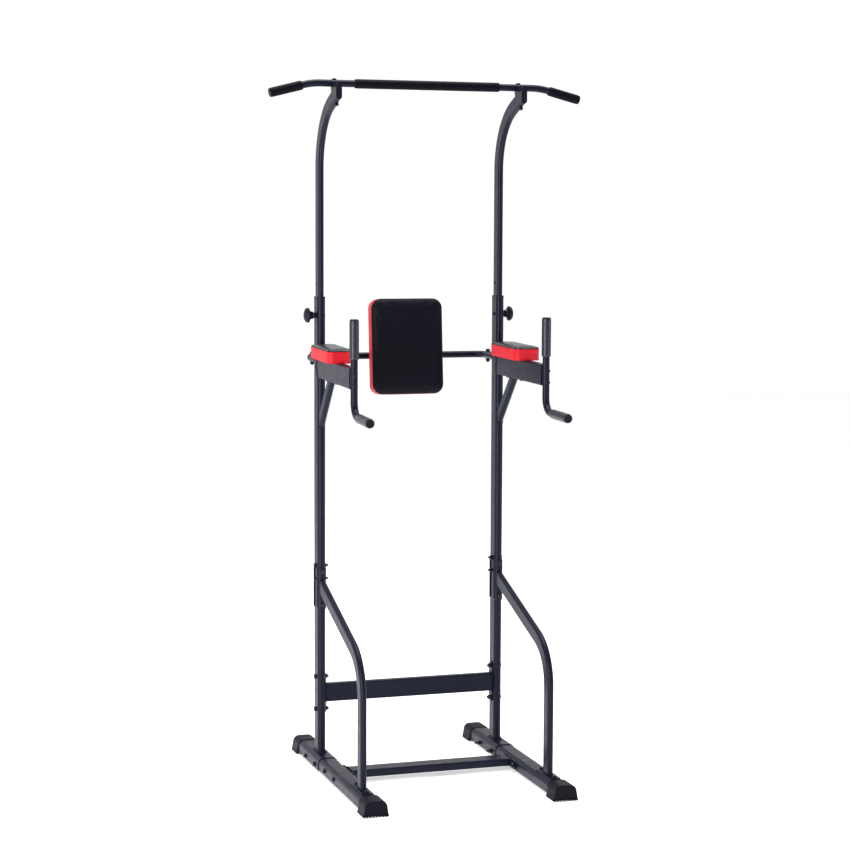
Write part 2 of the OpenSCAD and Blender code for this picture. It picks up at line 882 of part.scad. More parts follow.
module bar_path() {
    flat = bar_knee - bar_bend_r * tan(bar_droop / 2);
    translate([0, upright_y - bar_fwd, bar_z]) {
        along_x(-flat - lap, flat + lap) round_tube(hair);
        both_sides() {
            translate([flat, 0, -bar_bend_r]) rotate([90, 0, 0]) rotate([0, 0, 90 - bar_droop])
                rotate_extrude(angle = bar_droop, $fn = 128) translate([bar_bend_r, 0]) round_tube();
            bar_end_frame() translate([0, 0, -lap]) linear_extrude(bar_end_len() + lap)
                round_tube(hair);
        }
    }
}

// Frame at the end of the bend, heading outward and down along +Z
module bar_end_frame() {
    setback = bar_bend_r * tan(bar_droop / 2);
    translate([bar_knee, 0, 0]) rotate([0, 90 + bar_droop, 0]) translate([0, 0, setback]) children();
}

function bar_end_len() =
    (bar_span / 2 - bar_knee) / cos(bar_droop) - bar_bend_r * tan(bar_droop / 2) - 3;

module pull_up_bar() {
    color(frame_paint) difference() {
        bar_path();
        both_sides() bar_bolt_frame() cylinder(h = 60, d = bolt_hole, center = true);
    }
}

module centre_grip() {
    color(foam_black) translate([0, upright_y - bar_fwd, bar_z])
        along_x(-centre_half, centre_half) ring(foam_d, tube_d);
}

module end_grips() {
    start = (end_grip_start - bar_knee) / cos(bar_droop) - bar_bend_r * tan(bar_droop / 2) + 22;
    color(foam_black) both_sides() translate([0, upright_y - bar_fwd, bar_z]) bar_end_frame()
        translate([0, 0, start]) linear_extrude(bar_end_len() - start) ring(foam_d, tube_d);
}

module bar_end_plugs() {
    color(plastic_black) both_sides() translate([0, upright_y - bar_fwd, bar_z]) bar_end_frame()
        translate([0, 0, bar_end_len()]) tube_plug();
}

// ---- Fastener groups ----

module base_bolts() {
    color(bolt_black) both_sides() for (y = sleeve_bolt_y) translate([0, y, sleeve_bolt_z])
        bolt_x(side_x - base_w / 2, side_x + base_w / 2, 8);
}

module crossbar_bolts() {
    color(bolt_black) both_sides() for (s = [-1, 1]) {
        translate([0, front_bar_y + s * plate_pitch / 2, front_bolt_z])
            bolt_x(side_x - front_w / 2 - plate_t, side_x + front_w / 2);
        translate([0, upright_y, rear_bar_z + s * plate_pitch / 2])
            bolt_x(side_x - half_w - plate_t, side_x + half_w);
    }
}

module joint_bolts() {
    color(bolt_black) both_sides() for (z = joint_bolt_z) translate([0, upright_y, z])
        bolt_x(side_x - half_w, side_x + half_w, 6);
}

module brace_bolts() {
    grip = upright_d + 2 * brace_plate_t;
    color(bolt_black) both_sides() {
        for (z = brace_bolt_z) at_upright() translate([0, -half_d - brace_plate_t, z])
            rotate([-90, 0, 0]) bolt(grip);
        for (s = [-1, 1])
            translate([side_x, foot_plate_y() + s * plate_pitch / 2, front_tube_top + foot_plate_t])
            rotate([180, 0, 0]) bolt(foot_plate_t + base_wall);
    }
}

module arm_bolts() {
    front = handle_fwd + tube_d / 2;
    color(bolt_black) both_sides() {
        arm_yaw() for (z = handle_bolt_z) translate([0, -front, z]) rotate([-90, 0, 0])
            bolt(tube_d + beam_end_plate + 1);
        arm_frame() for (y = pad_bolt_y) translate([0, y, -beam_h / 2]) {
            translate([0, 0, -4]) cylinder(h = 4, d = 12);
            translate([0, 0, -4]) cylinder(h = beam_h + board_t + 2, d = pad_bolt_d);
        }
    }
}

module backrest_bolts() {
    color(bolt_black) {
        both_sides() translate([side_x, stub_bolt_y, back_bar_z + stub_d / 2]) rotate([180, 0, 0])
            bolt(stub_d);
        back_frame() back_screws() translate([0, bracket_t, 0]) rotate([90, 0, 0]) {
            translate([0, 0, -4]) cylinder(h = 4, d = 11);
            translate([0, 0, -4]) cylinder(h = 4 + bracket_t + back_board_t - 2, d = pad_bolt_d);
        }
    }
}

module bar_bolts() {
    color(bolt_black) both_sides() bar_bolt_frame() translate([0, 0, tube_d / 2])
        rotate([180, 0, 0]) bar_bolt();
}

// Domed head on the bar, nut under the post
module bar_bolt() {
    grip = tube_d / 2 + post_axis_depth() + post_d / 2;
    translate([0, 0, -3.5]) cylinder(h = 3.5, d1 = 10, d2 = 16);
    translate([0, 0, -3.5]) cylinder(h = 3.5 + grip + nut_h + 2, d = bolt_d);
    translate([0, 0, grip]) cylinder(h = nut_h, d = hex_af / cos(30), $fn = 6);
}

// Distance from the bar's axis to the post's centre line, square to the post
function post_axis_depth() =
    (bar_z - post_end_z()) * sin(post_bend) + (post_front - bar_fwd) * cos(post_bend);

left() rear_base_tube();  // left_rear_base_tube
rear_base_tube();  // right_rear_base_tube
left() front_base_tube();  // left_front_base_tube
front_base_tube();  // right_front_base_tube
left() rear_foot_cap();  // left_rear_foot_cap
rear_foot_cap();  // right_rear_foot_cap
left() front_foot_cap();  // left_front_foot_cap
front_foot_cap();  // right_front_foot_cap
front_crossbar();
rear_crossbar();
left() lower_upright();  // left_lower_upright
lower_upright();  // right_lower_upright
joint_spigots();
left() upper_upright();  // left_upper_upright
upper_upright();  // right_upper_upright
left() guide_bush();  // left_guide_bush
guide_bush();  // right_guide_bush
pin_bosses();
left() pull_pin();  // left_pull_pin
pull_pin();  // right_pull_pin
left() pull_knob();  // left_pull_knob
pull_knob();  // right_pull_knob
left() brace();  // left_brace
brace();  // right_brace
brace_back_plates();
left() arm_beam();  // left_arm_beam
arm_beam();  // right_arm_beam
left() arm_strut();  // left_arm_strut
arm_strut();  // right_arm_strut
left() arm_pad_board();  // left_arm_pad_board
arm_pad_board();  // right_arm_pad_board
left() arm_pad();  // left_arm_pad
arm_pad();  // right_arm_pad
left() dip_handle();  // left_dip_handle
dip_handle();  // right_dip_handle
left() dip_upper_grip();  // left_dip_upper_grip
dip_upper_grip();  // right_dip_upper_grip
left() dip_lower_grip();  // left_dip_lower_grip
dip_lower_grip();  // right_dip_lower_grip
dip_handle_plugs();
backrest_stubs();
backrest_bar();
backrest_bracket();
backrest_board();
backrest_pad();
left() post();  // left_post
post();  // right_post
post_end_plugs();
bar_saddles();
pull_up_bar();
centre_grip();
end_grips();
bar_end_plugs();
base_bolts();
crossbar_bolts();
joint_bolts();
brace_bolts();
arm_bolts();
backrest_bolts();
bar_bolts();
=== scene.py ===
import json
import math

import bmesh
import bpy
import numpy as np
from mathutils import Matrix, Vector
from mathutils.bvhtree import BVHTree


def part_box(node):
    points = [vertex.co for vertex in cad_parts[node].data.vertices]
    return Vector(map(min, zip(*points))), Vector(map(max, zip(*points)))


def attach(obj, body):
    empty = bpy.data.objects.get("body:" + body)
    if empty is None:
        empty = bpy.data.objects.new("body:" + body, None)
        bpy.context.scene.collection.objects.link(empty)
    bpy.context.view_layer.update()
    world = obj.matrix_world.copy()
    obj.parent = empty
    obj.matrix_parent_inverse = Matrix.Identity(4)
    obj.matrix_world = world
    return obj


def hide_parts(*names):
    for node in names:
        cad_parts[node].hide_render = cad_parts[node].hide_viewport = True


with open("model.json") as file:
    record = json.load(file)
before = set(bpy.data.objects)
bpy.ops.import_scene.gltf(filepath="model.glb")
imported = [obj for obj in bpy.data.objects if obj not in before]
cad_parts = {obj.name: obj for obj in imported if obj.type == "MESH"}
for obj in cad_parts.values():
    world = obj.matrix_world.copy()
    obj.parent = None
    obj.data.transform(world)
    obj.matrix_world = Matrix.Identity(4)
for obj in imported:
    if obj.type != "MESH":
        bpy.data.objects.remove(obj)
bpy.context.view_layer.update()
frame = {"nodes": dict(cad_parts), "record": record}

NODES = frame["nodes"]
SIDES = ("left", "right")


# ---------------------------------------------------------------- camera

AZIMUTH = math.radians(-17.84)
PITCH = math.radians(5.36)
ROLL = math.radians(0.22)
EYE = Vector((-2.020, -6.228, 1.729))


def make_camera():
    ahead = math.cos(PITCH)
    forward = Vector((-math.sin(AZIMUTH) * ahead, math.cos(AZIMUTH) * ahead, -math.sin(PITCH)))
    level = Vector((math.cos(AZIMUTH), math.sin(AZIMUTH), 0))
    up = level.cross(forward)
    right = level * math.cos(ROLL) + up * math.sin(ROLL)
    up = right.cross(forward)
    cam = bpy.data.objects.new("camera", bpy.data.cameras.new("camera"))
    cam.data.lens = 88.85
    cam.data.sensor_width = 36
    cam.data.clip_end = 100
    turn = Matrix((right, up, -forward)).transposed().to_4x4()
    cam.matrix_world = Matrix.Translation(EYE) @ turn
    bpy.context.scene.collection.objects.link(cam)
    bpy.context.scene.camera = cam


make_camera()


# ---------------------------------------------------------------- materials


class Nodes:
    """A principled material and short ways to wire nodes into it."""

    def __init__(self, name):
        self.mat = bpy.data.materials.new(name)
        self.mat.use_nodes = True
        self.tree = self.mat.node_tree
        self.tree.nodes.clear()
        out = self.tree.nodes.new("ShaderNodeOutputMaterial")
        self.shader = self.tree.nodes.new("ShaderNodeBsdfPrincipled")
        self.tree.links.new(self.shader.outputs[0], out.inputs[0])
        coords = self.tree.nodes.new("ShaderNodeTexCoord")
        self.place = coords.outputs["Object"]

    def add(self, kind, inputs=(), **props):
        node = self.tree.nodes.new(kind)
        for key, value in props.items():
            setattr(node, key, value)
        for key, value in dict(inputs).items():
            if isinstance(value, bpy.types.NodeSocket):
                self.tree.links.new(value, node.inputs[key])
            else:
                node.inputs[key].default_value = value
        return node

    def noise(self, scale, detail=3.0, rough=0.5, vector=None):
        ins = {"Vector": vector or self.place, "Scale": scale, "Detail": detail, "Roughness": rough}
        return self.add("ShaderNodeTexNoise", ins).outputs["Fac"]

    def stretched(self, scale):
        ins = {"Vector": self.place, "Scale": scale}
        return self.add("ShaderNodeMapping", ins).outputs["Vector"]

    def cells(self, scale, feature="F1"):
        ins = {"Vector": self.place, "Scale": scale}
        return self.add("ShaderNodeTexVoronoi", ins, feature=feature).outputs["Distance"]

    def remap(self, value, lo, hi, to_lo, to_hi):
        ins = {"Value": value, "From Min": lo, "From Max": hi, "To Min": to_lo, "To Max": to_hi}
        return self.add("ShaderNodeMapRange", ins).outputs["Result"]

    def blend(self, value, a, b):
        ramp = self.tree.nodes.new("ShaderNodeValToRGB")
        ramp.color_ramp.elements[0].color = (*a, 1)
        ramp.color_ramp.elements[0].position = 0.35
        ramp.color_ramp.elements[1].color = (*b, 1)
        ramp.color_ramp.elements[1].position = 0.65
        self.tree.links.new(value, ramp.inputs[0])
        return ramp.outputs["Color"]

    def bump(self, height, strength, distance, under=None):
        ins = {"Height": height, "Strength": strength, "Distance": distance}
        if under is not None:
            ins["Normal"] = under
        return self.add("ShaderNodeBump", ins).outputs["Normal"]

    def eased_edges(self, radius):
        return self.add("ShaderNodeBevel", {"Radius": radius}, samples=4).outputs["Normal"]

    def wire(self, **sockets):
        names = {"color": "Base Color", "rough": "Roughness", "normal": "Normal", "metal": "Metallic",
                 "specular": "Specular IOR Level", "sheen": "Sheen Weight", "sheen_rough": "Sheen Roughness",
                 "coat": "Coat Weight", "coat_rough": "Coat Roughness"}
        for key, value in sockets.items():
            socket = self.shader.inputs[names[key]]
            if isinstance(value, bpy.types.NodeSocket):
                self.tree.links.new(value, socket)
            else:
                socket.default_value = value
        return self.mat


def shade(color, factor):
    return tuple(c * factor for c in color)


def powder_coat(name, color=(0.0043, 0.0053, 0.0165)):
    n = Nodes(name)
    peel = n.noise(650, 2.5)
    patches = n.noise(7, 4)
    edges = n.eased_edges(0.0009)
    return n.wire(
        color=n.blend(patches, shade(color, 0.88), shade(color, 1.14)),
        rough=n.remap(n.noise(40, 4), 0.3, 0.7, 0.31, 0.40),
        normal=n.bump(peel, 0.10, 0.0004, edges),
        specular=0.15,
    )


def foam(name, color, rough, specular, sheen):
    n = Nodes(name)
    pores = n.cells(900)
    lumps = n.noise(120, 4)
    first = n.bump(lumps, 0.12, 0.0008)
    return n.wire(
        color=n.blend(n.noise(300, 5), shade(color, 0.75), shade(color, 1.3)),
        rough=n.remap(lumps, 0.3, 0.7, rough - 0.06, rough + 0.08),
        normal=n.bump(pores, 0.16, 0.0004, first),
        sheen=sheen, sheen_rough=0.45, specular=specular,
    )


def vinyl(name, color, gloss=0.42, specular=0.3):
    n = Nodes(name)
    grain = n.cells(620, "DISTANCE_TO_EDGE")
    creases = n.noise(60, 5, 0.6)
    first = n.bump(creases, 0.12, 0.0012)
    return n.wire(
        color=n.blend(n.noise(18, 5), shade(color, 0.93), shade(color, 1.06)),
        rough=n.remap(creases, 0.3, 0.7, gloss - 0.06, gloss + 0.08),
        normal=n.bump(grain, 0.22, 0.0004, first),
        specular=specular, coat=0.02, coat_rough=0.35,
    )


def moulded(name, color=(0.0030, 0.0032, 0.0080), rough=0.4, specular=0.2):
    n = Nodes(name)
    spark = n.noise(1500, 2)
    flow = n.noise(14, 3)
    edges = n.eased_edges(0.0008)
    return n.wire(
        color=n.blend(flow, shade(color, 0.9), shade(color, 1.15)),
        rough=n.remap(flow, 0.3, 0.7, rough - 0.05, rough + 0.07),
        normal=n.bump(spark, 0.14, 0.0003, edges),
        specular=specular,
    )


def zinc(name, color, rough=0.28):
    n = Nodes(name)
    stain = n.noise(160, 5)
    brushed = n.noise(1200, 2)
    edges = n.eased_edges(0.0004)
    return n.wire(
        color=n.blend(stain, shade(color, 0.7), shade(color, 1.25)),
        rough=n.remap(n.noise(300, 4), 0.3, 0.7, rough - 0.06, rough + 0.12),
        normal=n.bump(brushed, 0.06, 0.0002, edges),
        metal=1.0,
    )


def weld_metal(name, color=(0.0043, 0.0053, 0.0165)):
    n = Nodes(name)
    spatter = n.noise(500, 5)
    return n.wire(
        color=n.blend(spatter, shade(color, 0.8), shade(color, 1.2)),
        rough=n.remap(spatter, 0.3, 0.7, 0.38, 0.5),
        normal=n.bump(spatter, 0.3, 0.0005),
        specular=0.17,
    )


def plywood(name):
    n = Nodes(name)
    along = n.stretched((6, 90, 6))
    grain = n.noise(6, 8, 0.65, along)
    ins = {"Vector": n.place, "Scale": 260, "Distortion": 1.5, "Detail": 2.0}
    layers = n.add("ShaderNodeTexWave", ins, bands_direction="Y").outputs["Fac"]
    return n.wire(
        color=n.blend(grain, (0.36, 0.22, 0.11), (0.52, 0.36, 0.2)),
        rough=n.remap(grain, 0.3, 0.7, 0.6, 0.8),
        normal=n.bump(layers, 0.15, 0.0005),
    )


def backing_cloth(name):
    """Black non-woven cloth on the backs of the boards and cushions."""
    n = Nodes(name)
    dots = n.cells(400)
    fibres = n.noise(1400, 3)
    first = n.bump(dots, 0.35, 0.0004)
    return n.wire(
        color=n.blend(fibres, (0.008, 0.008, 0.009), (0.018, 0.018, 0.02)),
        rough=n.remap(fibres, 0.3, 0.7, 0.85, 0.97),
        normal=n.bump(fibres, 0.2, 0.0003, first),
        sheen=0.1, sheen_rough=0.6,
    )


STEEL = powder_coat("steel_powder_coat")
# Both grip foams are one black foam with a different gloss: the bar grips' base colour is darkened as painted
# shade, and the handle grips' base colour is lightened as painted light from the side lamps.
FOAM = foam("bar_grip_foam_painted_shade", (0.0024, 0.0028, 0.0055), 0.52, 0.06, 0.006)
HANDLE_FOAM_PAINTED_LIGHT = foam("handle_grip_foam_painted_light", (0.0080, 0.0090, 0.0155), 0.36, 0.46, 0.01)
RED = vinyl("vinyl_red", (0.57, 0.0100, 0.022), 0.46, 0.17)
BLACK = vinyl("vinyl_black", (0.0022, 0.0024, 0.0062), 0.6, 0.10)
PAD_BLACK = vinyl("vinyl_black_gloss", (0.0026, 0.0029, 0.0072), 0.34, 0.42)
PLASTIC = moulded("black_plastic")
RUBBERY = moulded("foot_plastic", (0.0020, 0.0022, 0.0062), 0.5, 0.11)
BOLT = zinc("black_zinc", (0.035, 0.035, 0.042))
BRIGHT = zinc("bright_zinc", (0.55, 0.55, 0.56), 0.24)
TUBE_INSIDE = zinc("bare_tube", (0.28, 0.28, 0.3), 0.4)
WELD = weld_metal("weld_bead")
BOARD = plywood("plywood")
BACKING = backing_cloth("backing_cloth")
THREAD = vinyl("stitch_thread_red", (0.42, 0.010, 0.020), 0.6)

SLOT_LOOK = {
    "frame_steel": STEEL, "foam": FOAM, "red_vinyl": RED, "black_vinyl": BLACK, "black_plastic": PLASTIC,
    "fasteners": BOLT, "pin_steel": BRIGHT, "inner_steel": TUBE_INSIDE, "plywood": BOARD,
}
for row in frame["record"]["subparts"]:
    obj = NODES[row["node"]]
    obj.data.materials.clear()
    obj.data.materials.append(SLOT_LOOK[row["material_slot"]])
for side in SIDES:
    for end in ("front", "rear"):
        NODES[f"{side}_{end}_foot_cap"].data.materials[0] = RUBBERY
NODES["backrest_board"].data.materials[0] = BACKING


# ---------------------------------------------------------------- reading the CAD solids

BODY_OF = {n: body for body, nodes in frame["record"]["behaviour"]["bodies"].items() for n in nodes}


def unit(v):
    return v / np.linalg.norm(v)


def joined(node):
    """A node's mesh with the vertices that its faces share made one."""
    bm = bmesh.new()
    bm.from_mesh(NODES[node].data)
    bmesh.ops.remove_doubles(bm, verts=bm.verts, dist=1e-6)
    return bm


def solids(node):
    """The points of each separate solid of a node."""
    bm = joined(node)
    seen, found = set(), []
    for first in bm.verts:
        if first in seen:
            continue
        seen.add(first)
        group, waiting = [], [first]
        while waiting:
            vert = waiting.pop()
            group.append(vert.co[:])
            for edge in vert.link_edges:
                other = edge.other_vert(vert)
                if other not in seen:
                    seen.add(other)
                    waiting.append(other)
        found.append(np.array(group))
    bm.free()
    return found


class Turned:
    """The axis of a turned or hexagonal solid, and its points as places along it and radii."""

    def __init__(self, points, start=None):
        spread, ways = np.linalg.eigh(np.cov((points - points.mean(0)).T))
        odd = 0 if spread[1] - spread[0] > spread[2] - spread[1] else 2
        self.set_axis(points, ways[:, odd])
        if self.thick_end_last():
            self.set_axis(points, -self.axis)
        if start is not None and (self.origin - start) @ self.axis > 0:
            self.set_axis(points, -self.axis)

    def set_axis(self, points, axis):
        self.axis = unit(axis)
        aside = np.array((1.0, 0, 0)) if abs(self.axis[2]) > 0.9 else np.array((0, 0, 1.0))
        self.side = unit(np.cross(self.axis, aside))
        self.up = np.cross(self.axis, self.side)
        across = np.stack([points @ self.side, points @ self.up], 1)
        middle = (across.min(0) + across.max(0)) / 2
        along = points @ self.axis
        self.origin = middle[0] * self.side + middle[1] * self.up + along.min() * self.axis
        self.t = along - along.min()
        self.length = self.t.max()
        self.r = np.linalg.norm(across - middle, axis=1)
        self.angle = np.arctan2(across[:, 1] - middle[1], across[:, 0] - middle[0])

    def thick_end_last(self):
        near = 1e-4
        return self.r[self.t > self.length - near].max() > self.r[self.t < near].max() + near

    def place(self, t, r, angle):
        across = math.cos(angle) * self.side + math.sin(angle) * self.up
        return tuple(self.origin + t * self.axis + r * across)


# ---------------------------------------------------------------- building meshes


class Shape:
    """Gathers the vertices and faces of one piece, each face with the number of its look."""

    def __init__(self):
        self.points, self.faces, self.looks = [], [], []

    def face(self, corners, look):
        self.faces.append(corners)
        self.looks.append(look)

    def skin(self, rings, loop=False, look=0):
        """Surface through closed rings; its ends meet if it loops, and are closed if not."""
        base, n = len(self.points), len(rings[0])
        for ring in rings:
            self.points.extend(tuple(p) for p in ring)
        steps = [(k, k + 1) for k in range(len(rings) - 1)]
        if loop:
            steps.append((len(rings) - 1, 0))
        for a, b in steps:
            for i in range(n):
                j = (i + 1) % n
                self.face((base + a * n + i, base + a * n + j, base + b * n + j, base + b * n + i), look)
        if loop:
            return
        for k in (0, len(rings) - 1):
            middle = len(self.points)
            self.points.append(tuple(np.mean(rings[k], axis=0)))
            for i in range(n):
                self.face((middle, base + k * n + i, base + k * n + (i + 1) % n), look)

    def turn(self, place, profile, sides=40, loop=False, look=0):
        """Surface of revolution of a profile of (place along the axis, radius)."""
        angles = [2 * math.pi * i / sides for i in range(sides)]
        self.skin([[place(t, r, a) for a in angles] for t, r in profile], loop, look)

    def piece(self, name, looks, node, replaces=(), crease=38, body=None):
        """The finished object, with the given looks, on the body of a CAD node."""
        mesh = bpy.data.meshes.new(name)
        mesh.from_pydata(self.points, [], self.faces)
        mesh.polygons.foreach_set("material_index", self.looks)
        mesh.polygons.foreach_set("use_smooth", [True] * len(self.faces))
        bm = bmesh.new()
        bm.from_mesh(mesh)
        bmesh.ops.recalc_face_normals(bm, faces=bm.faces)
        bm.to_mesh(mesh)
        bm.free()
        mesh.set_sharp_from_angle(angle=math.radians(crease))
        for look in looks:
            mesh.materials.append(look)
        ob = bpy.data.objects.new(name, mesh)
        bpy.context.scene.collection.objects.link(ob)
        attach(ob, body or BODY_OF[node])
        if replaces:
            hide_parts(*replaces)
        return ob


# ---------------------------------------------------------------- fasteners

HEX_CORNER = 1 / math.cos(math.pi / 6)
CHAMFER = math.tan(math.radians(28))
THREAD_PITCH = 0.00125
THREAD_DEPTH = 0.0007
M8_FLATS = 0.013
GUIDE_NUT_FLATS = 0.016
WASHER = 0.0016


def add_hexagon(shape, place, t0, t1, across, turn=0.0, ends=(True, True), bore=None):
    """Hexagonal head or nut, its corners cut by the cone of a chamfer at either end."""
    inner = across / 2 * 0.94
    angles = [2 * math.pi * i / 48 + turn for i in range(48)]
    reach = [across / 2 / math.cos((a - turn) % (math.pi / 3) - math.pi / 6) for a in angles]
    cut = [(r - inner) * CHAMFER for r in reach]
    rings = []
    for t, way, chamfered in ((t0, 1, ends[0]), (t1, -1, ends[1])):
        middle = bore or inner * 0.7
        ring = [[place(t, middle, a) for a in angles]]
        if chamfered:
            ring.append([place(t, inner, a) for a in angles])
            ring.append([place(t + way * c, r, a) for a, r, c in zip(angles, reach, cut)])
        else:
            ring.append([place(t, r, a) for a, r in zip(angles, reach)])
        rings += ring[::way]
    shape.skin(rings, loop=bore is not None)


def add_washer(shape, place, t0, t1, outer, bore):
    ease = 0.0003
    profile = [(t0, bore), (t0, outer - ease), (t0 + ease, outer)]
    profile += [(t1 - ease, outer), (t1, outer - ease), (t1, bore)]
    shape.turn(place, profile, 36, loop=True)


def add_shank(shape, place, t0, thread_from, t1, radius):
    """Plain shank, then a cut thread with a tapered tip."""
    sides, per_turn = 24, 4
    rows = [(t0, None), (thread_from, None)]
    count = max(2, round((t1 - thread_from) / THREAD_PITCH * per_turn))
    rows += [(thread_from + (t1 - thread_from) * (k + 1) / count, k) for k in range(count)]
    rings = []
    for t, k in rows:
        ring = []
        for i in range(sides):
            angle = 2 * math.pi * i / sides
            r = radius
            if k is not None:
                wave = abs(((t / THREAD_PITCH - i / sides) % 1) * 2 - 1)
                r -= THREAD_DEPTH * wave + max(0.0, 0.0012 - (t1 - t)) * 0.8
            ring.append(place(t, r, angle))
        rings.append(ring)
    shape.skin(rings)


def add_button_head(shape, place, height, radius, shank, end, socket=0.0022):
    """Round head with a hexagonal socket, and its shank."""
    angles = [2 * math.pi * i / 36 for i in range(36)]
    hexagon = [socket / math.cos(a % (math.pi / 3) - math.pi / 6) for a in angles]
    deep = height * 0.65
    rings = [[place(t, r, a) for a, r in zip(angles, hexagon)] for t in (deep, 0.0)]
    for t, share in ((0.0, 0.62), (0.1, 0.8), (0.35, 0.94), (0.62, 1.0), (0.92, 1.0), (1.0, 0.97)):
        rings.append([place(t * height, share * radius, a) for a in angles])
    rings += [[place(t, shank, a) for a in angles] for t in (height, end)]
    shape.skin(rings)


def add_fastener(shape, points, across):
    """Bolt, screw or guide nut in the place of one CAD solid."""
    s = Turned(points)
    corners = np.abs(s.r - across / 2 * HEX_CORNER) < 5e-5
    levels = sorted(set(np.round(s.t[corners], 5)))
    turn = s.angle[corners][0] if corners.any() else 0.0
    if len(levels) == 2 and levels[1] - levels[0] > s.length - 1e-4:
        add_hexagon(shape, s.place, 0, s.length, across, turn, bore=s.r.min())
        return
    shank = s.r[s.t > s.length - 1e-4].max()
    if len(levels) == 4:
        head, rim = levels[1], s.r.max()
        add_hexagon(shape, s.place, 0, head, across, turn, ends=(True, False))
        add_washer(shape, s.place, head, head + WASHER, rim, shank)
        add_washer(shape, s.place, levels[2] - WASHER, levels[2], rim, shank)
        add_shank(shape, s.place, head, levels[3], s.length, shank)
        add_hexagon(shape, s.place, levels[2], levels[3], across, turn, bore=shank)
        return
    heights = s.t[s.r > shank * 1.2]
    head = heights[heights < s.length / 3].max()
    add_button_head(shape, s.place, head, s.r[s.t < head + 1e-4].max(), shank, s.length)
    if levels:
        add_hexagon(shape, s.place, levels[0], levels[1], across, turn, bore=shank * 0.99)


def make_fasteners():
    rows = [(f"{where}_bolts", M8_FLATS)
            for where in ("base", "crossbar", "joint", "brace", "arm", "backrest", "bar")]
    for node, across in rows + [("pin_bosses", GUIDE_NUT_FLATS)]:
        shape = Shape()
        for points in solids(node):
            add_fastener(shape, points, across)
        shape.piece(f"{node}_detailed", [BOLT], node, (node,), crease=25)


make_fasteners()


# ---------------------------------------------------------------- grips, plugs and knobs


def quarter(t, r, depth, rise, steps=6):
    """Points of a rounded shoulder: it starts at (t, r) across the axis, and ends along it."""
    out = []
    for k in range(steps + 1):
        a = math.pi / 2 * k / steps
        out.append((t + depth * (1 - math.cos(a)), r + rise * math.sin(a)))
    return out


def make_foam_grip(node, look):
    """Foam sleeves with rounded ends, pinched a little where they end."""
    shape = Shape()
    for points in solids(node):
        s = Turned(points)
        outer, bore, soft = s.r.max(), s.r.min(), 0.0028
        half = [(0.0004, bore), (0.0, bore + 0.0008)] + quarter(0.0, outer - soft, soft, soft - 0.0003)
        half += [(0.006, outer - 0.00012), (0.012, outer)]
        count = max(4, round(s.length / 0.02))
        middle = [(0.012 + (s.length - 0.024) * k / count, outer) for k in range(1, count)]
        profile = half + middle + [(s.length - t, r) for t, r in reversed(half)]
        shape.turn(s.place, profile, 56, loop=True)
    shape.piece(f"{node}_foam", [look], node, (node,), crease=60)


def make_tube_plugs(node):
    """Push-in plugs: a stem in the tube, and a low domed head with a rim."""
    shape = Shape()
    for points in solids(node):
        s = Turned(points)
        rim = s.r.max()
        stem = s.r[s.t > s.length - 1e-4].max()
        head = s.t[s.r > rim - 1e-4].max()
        profile = [(0.0009, 0.001), (0.0007, rim * 0.45), (0.0011, rim * 0.62), (0.0004, rim * 0.7)]
        profile += [(0.0002, rim * 0.78)] + quarter(0.0004, rim - 0.0022, 0.0016, 0.0022)[1:]
        profile += [(head - 0.0002, rim), (head, rim - 0.0003), (head, stem), (s.length - 0.001, stem)]
        profile += [(s.length, stem - 0.001)]
        shape.turn(s.place, profile, 48)
    shape.piece(f"{node}_domed", [PLASTIC], node, (node,), crease=50)


def make_knob(side):
    """Domed knob on a waisted neck, with the socket that passes over the guide nut."""
    node = f"{side}_pull_knob"
    s = Turned(solids(node)[0])
    if abs(s.origin[0]) > abs((s.origin + s.axis * s.length)[0]):
        s.set_axis(solids(node)[0], -s.axis)
    rim, length = s.r.max(), s.length
    neck, socket = rim / 2, s.r[s.t < 1e-4].min()
    bore = s.r[s.t < length * 0.8].min()
    deep = length * 0.3
    grip_end = length * 0.78
    profile = [(grip_end, bore * 0.2), (grip_end, bore), (deep, bore), (deep, socket), (0.0006, socket)]
    profile += [(0.0, socket + 0.0006), (0.0, neck - 0.0008), (0.0007, neck)]
    curve = [(0.2, 0.51), (0.3, 0.56), (0.36, 0.64), (0.4, 0.76), (0.425, 0.87), (0.45, 0.94), (0.49, 0.985),
             (0.54, 1.0), (0.6, 1.0), (0.68, 0.975), (0.76, 0.915), (0.84, 0.81), (0.91, 0.65), (0.96, 0.46),
             (0.99, 0.24), (1.0, 0.06)]
    profile += [(length * a, rim * b) for a, b in curve]
    shape = Shape()
    shape.turn(s.place, profile, 72)
    knob = shape.piece(f"{side}_domed_knob", [PLASTIC], node, (node,), crease=50)
    soften = knob.modifiers.new("smooth", "SUBSURF")
    soften.levels = soften.render_levels = 1


# The handle grips take the foam with painted light in its base colour; the bar grips take the one with
# painted shade.
for side in SIDES:
    for level in ("upper", "lower"):
        make_foam_grip(f"{side}_dip_{level}_grip", HANDLE_FOAM_PAINTED_LIGHT)
for grips in ("centre_grip", "end_grips"):
    make_foam_grip(grips, FOAM)
for plugs in ("dip_handle_plugs", "bar_end_plugs"):
    make_tube_plugs(plugs)
for side in SIDES:
    make_knob(side)


# ---------------------------------------------------------------- foot caps


def arch_outline(half, height, high_round, low_round, steps=8):
    """Closed outline of the base tubes' section: big round shoulders, small lower corners."""
    out = []
    corners = ((half, 0.0, low_round, -90), (half, height, high_round, 0),
               (-half, height, high_round, 90), (-half, 0.0, low_round, 180))
    for x, z, r, start in corners:
        middle_x = x - math.copysign(r, x)
        middle_z = z + r if z == 0 else z - r
        for k in range(steps + 1):
            a = math.radians(start + 90 * k / steps)
            out.append((middle_x + r * math.cos(a), middle_z + r * math.sin(a)))
    return out


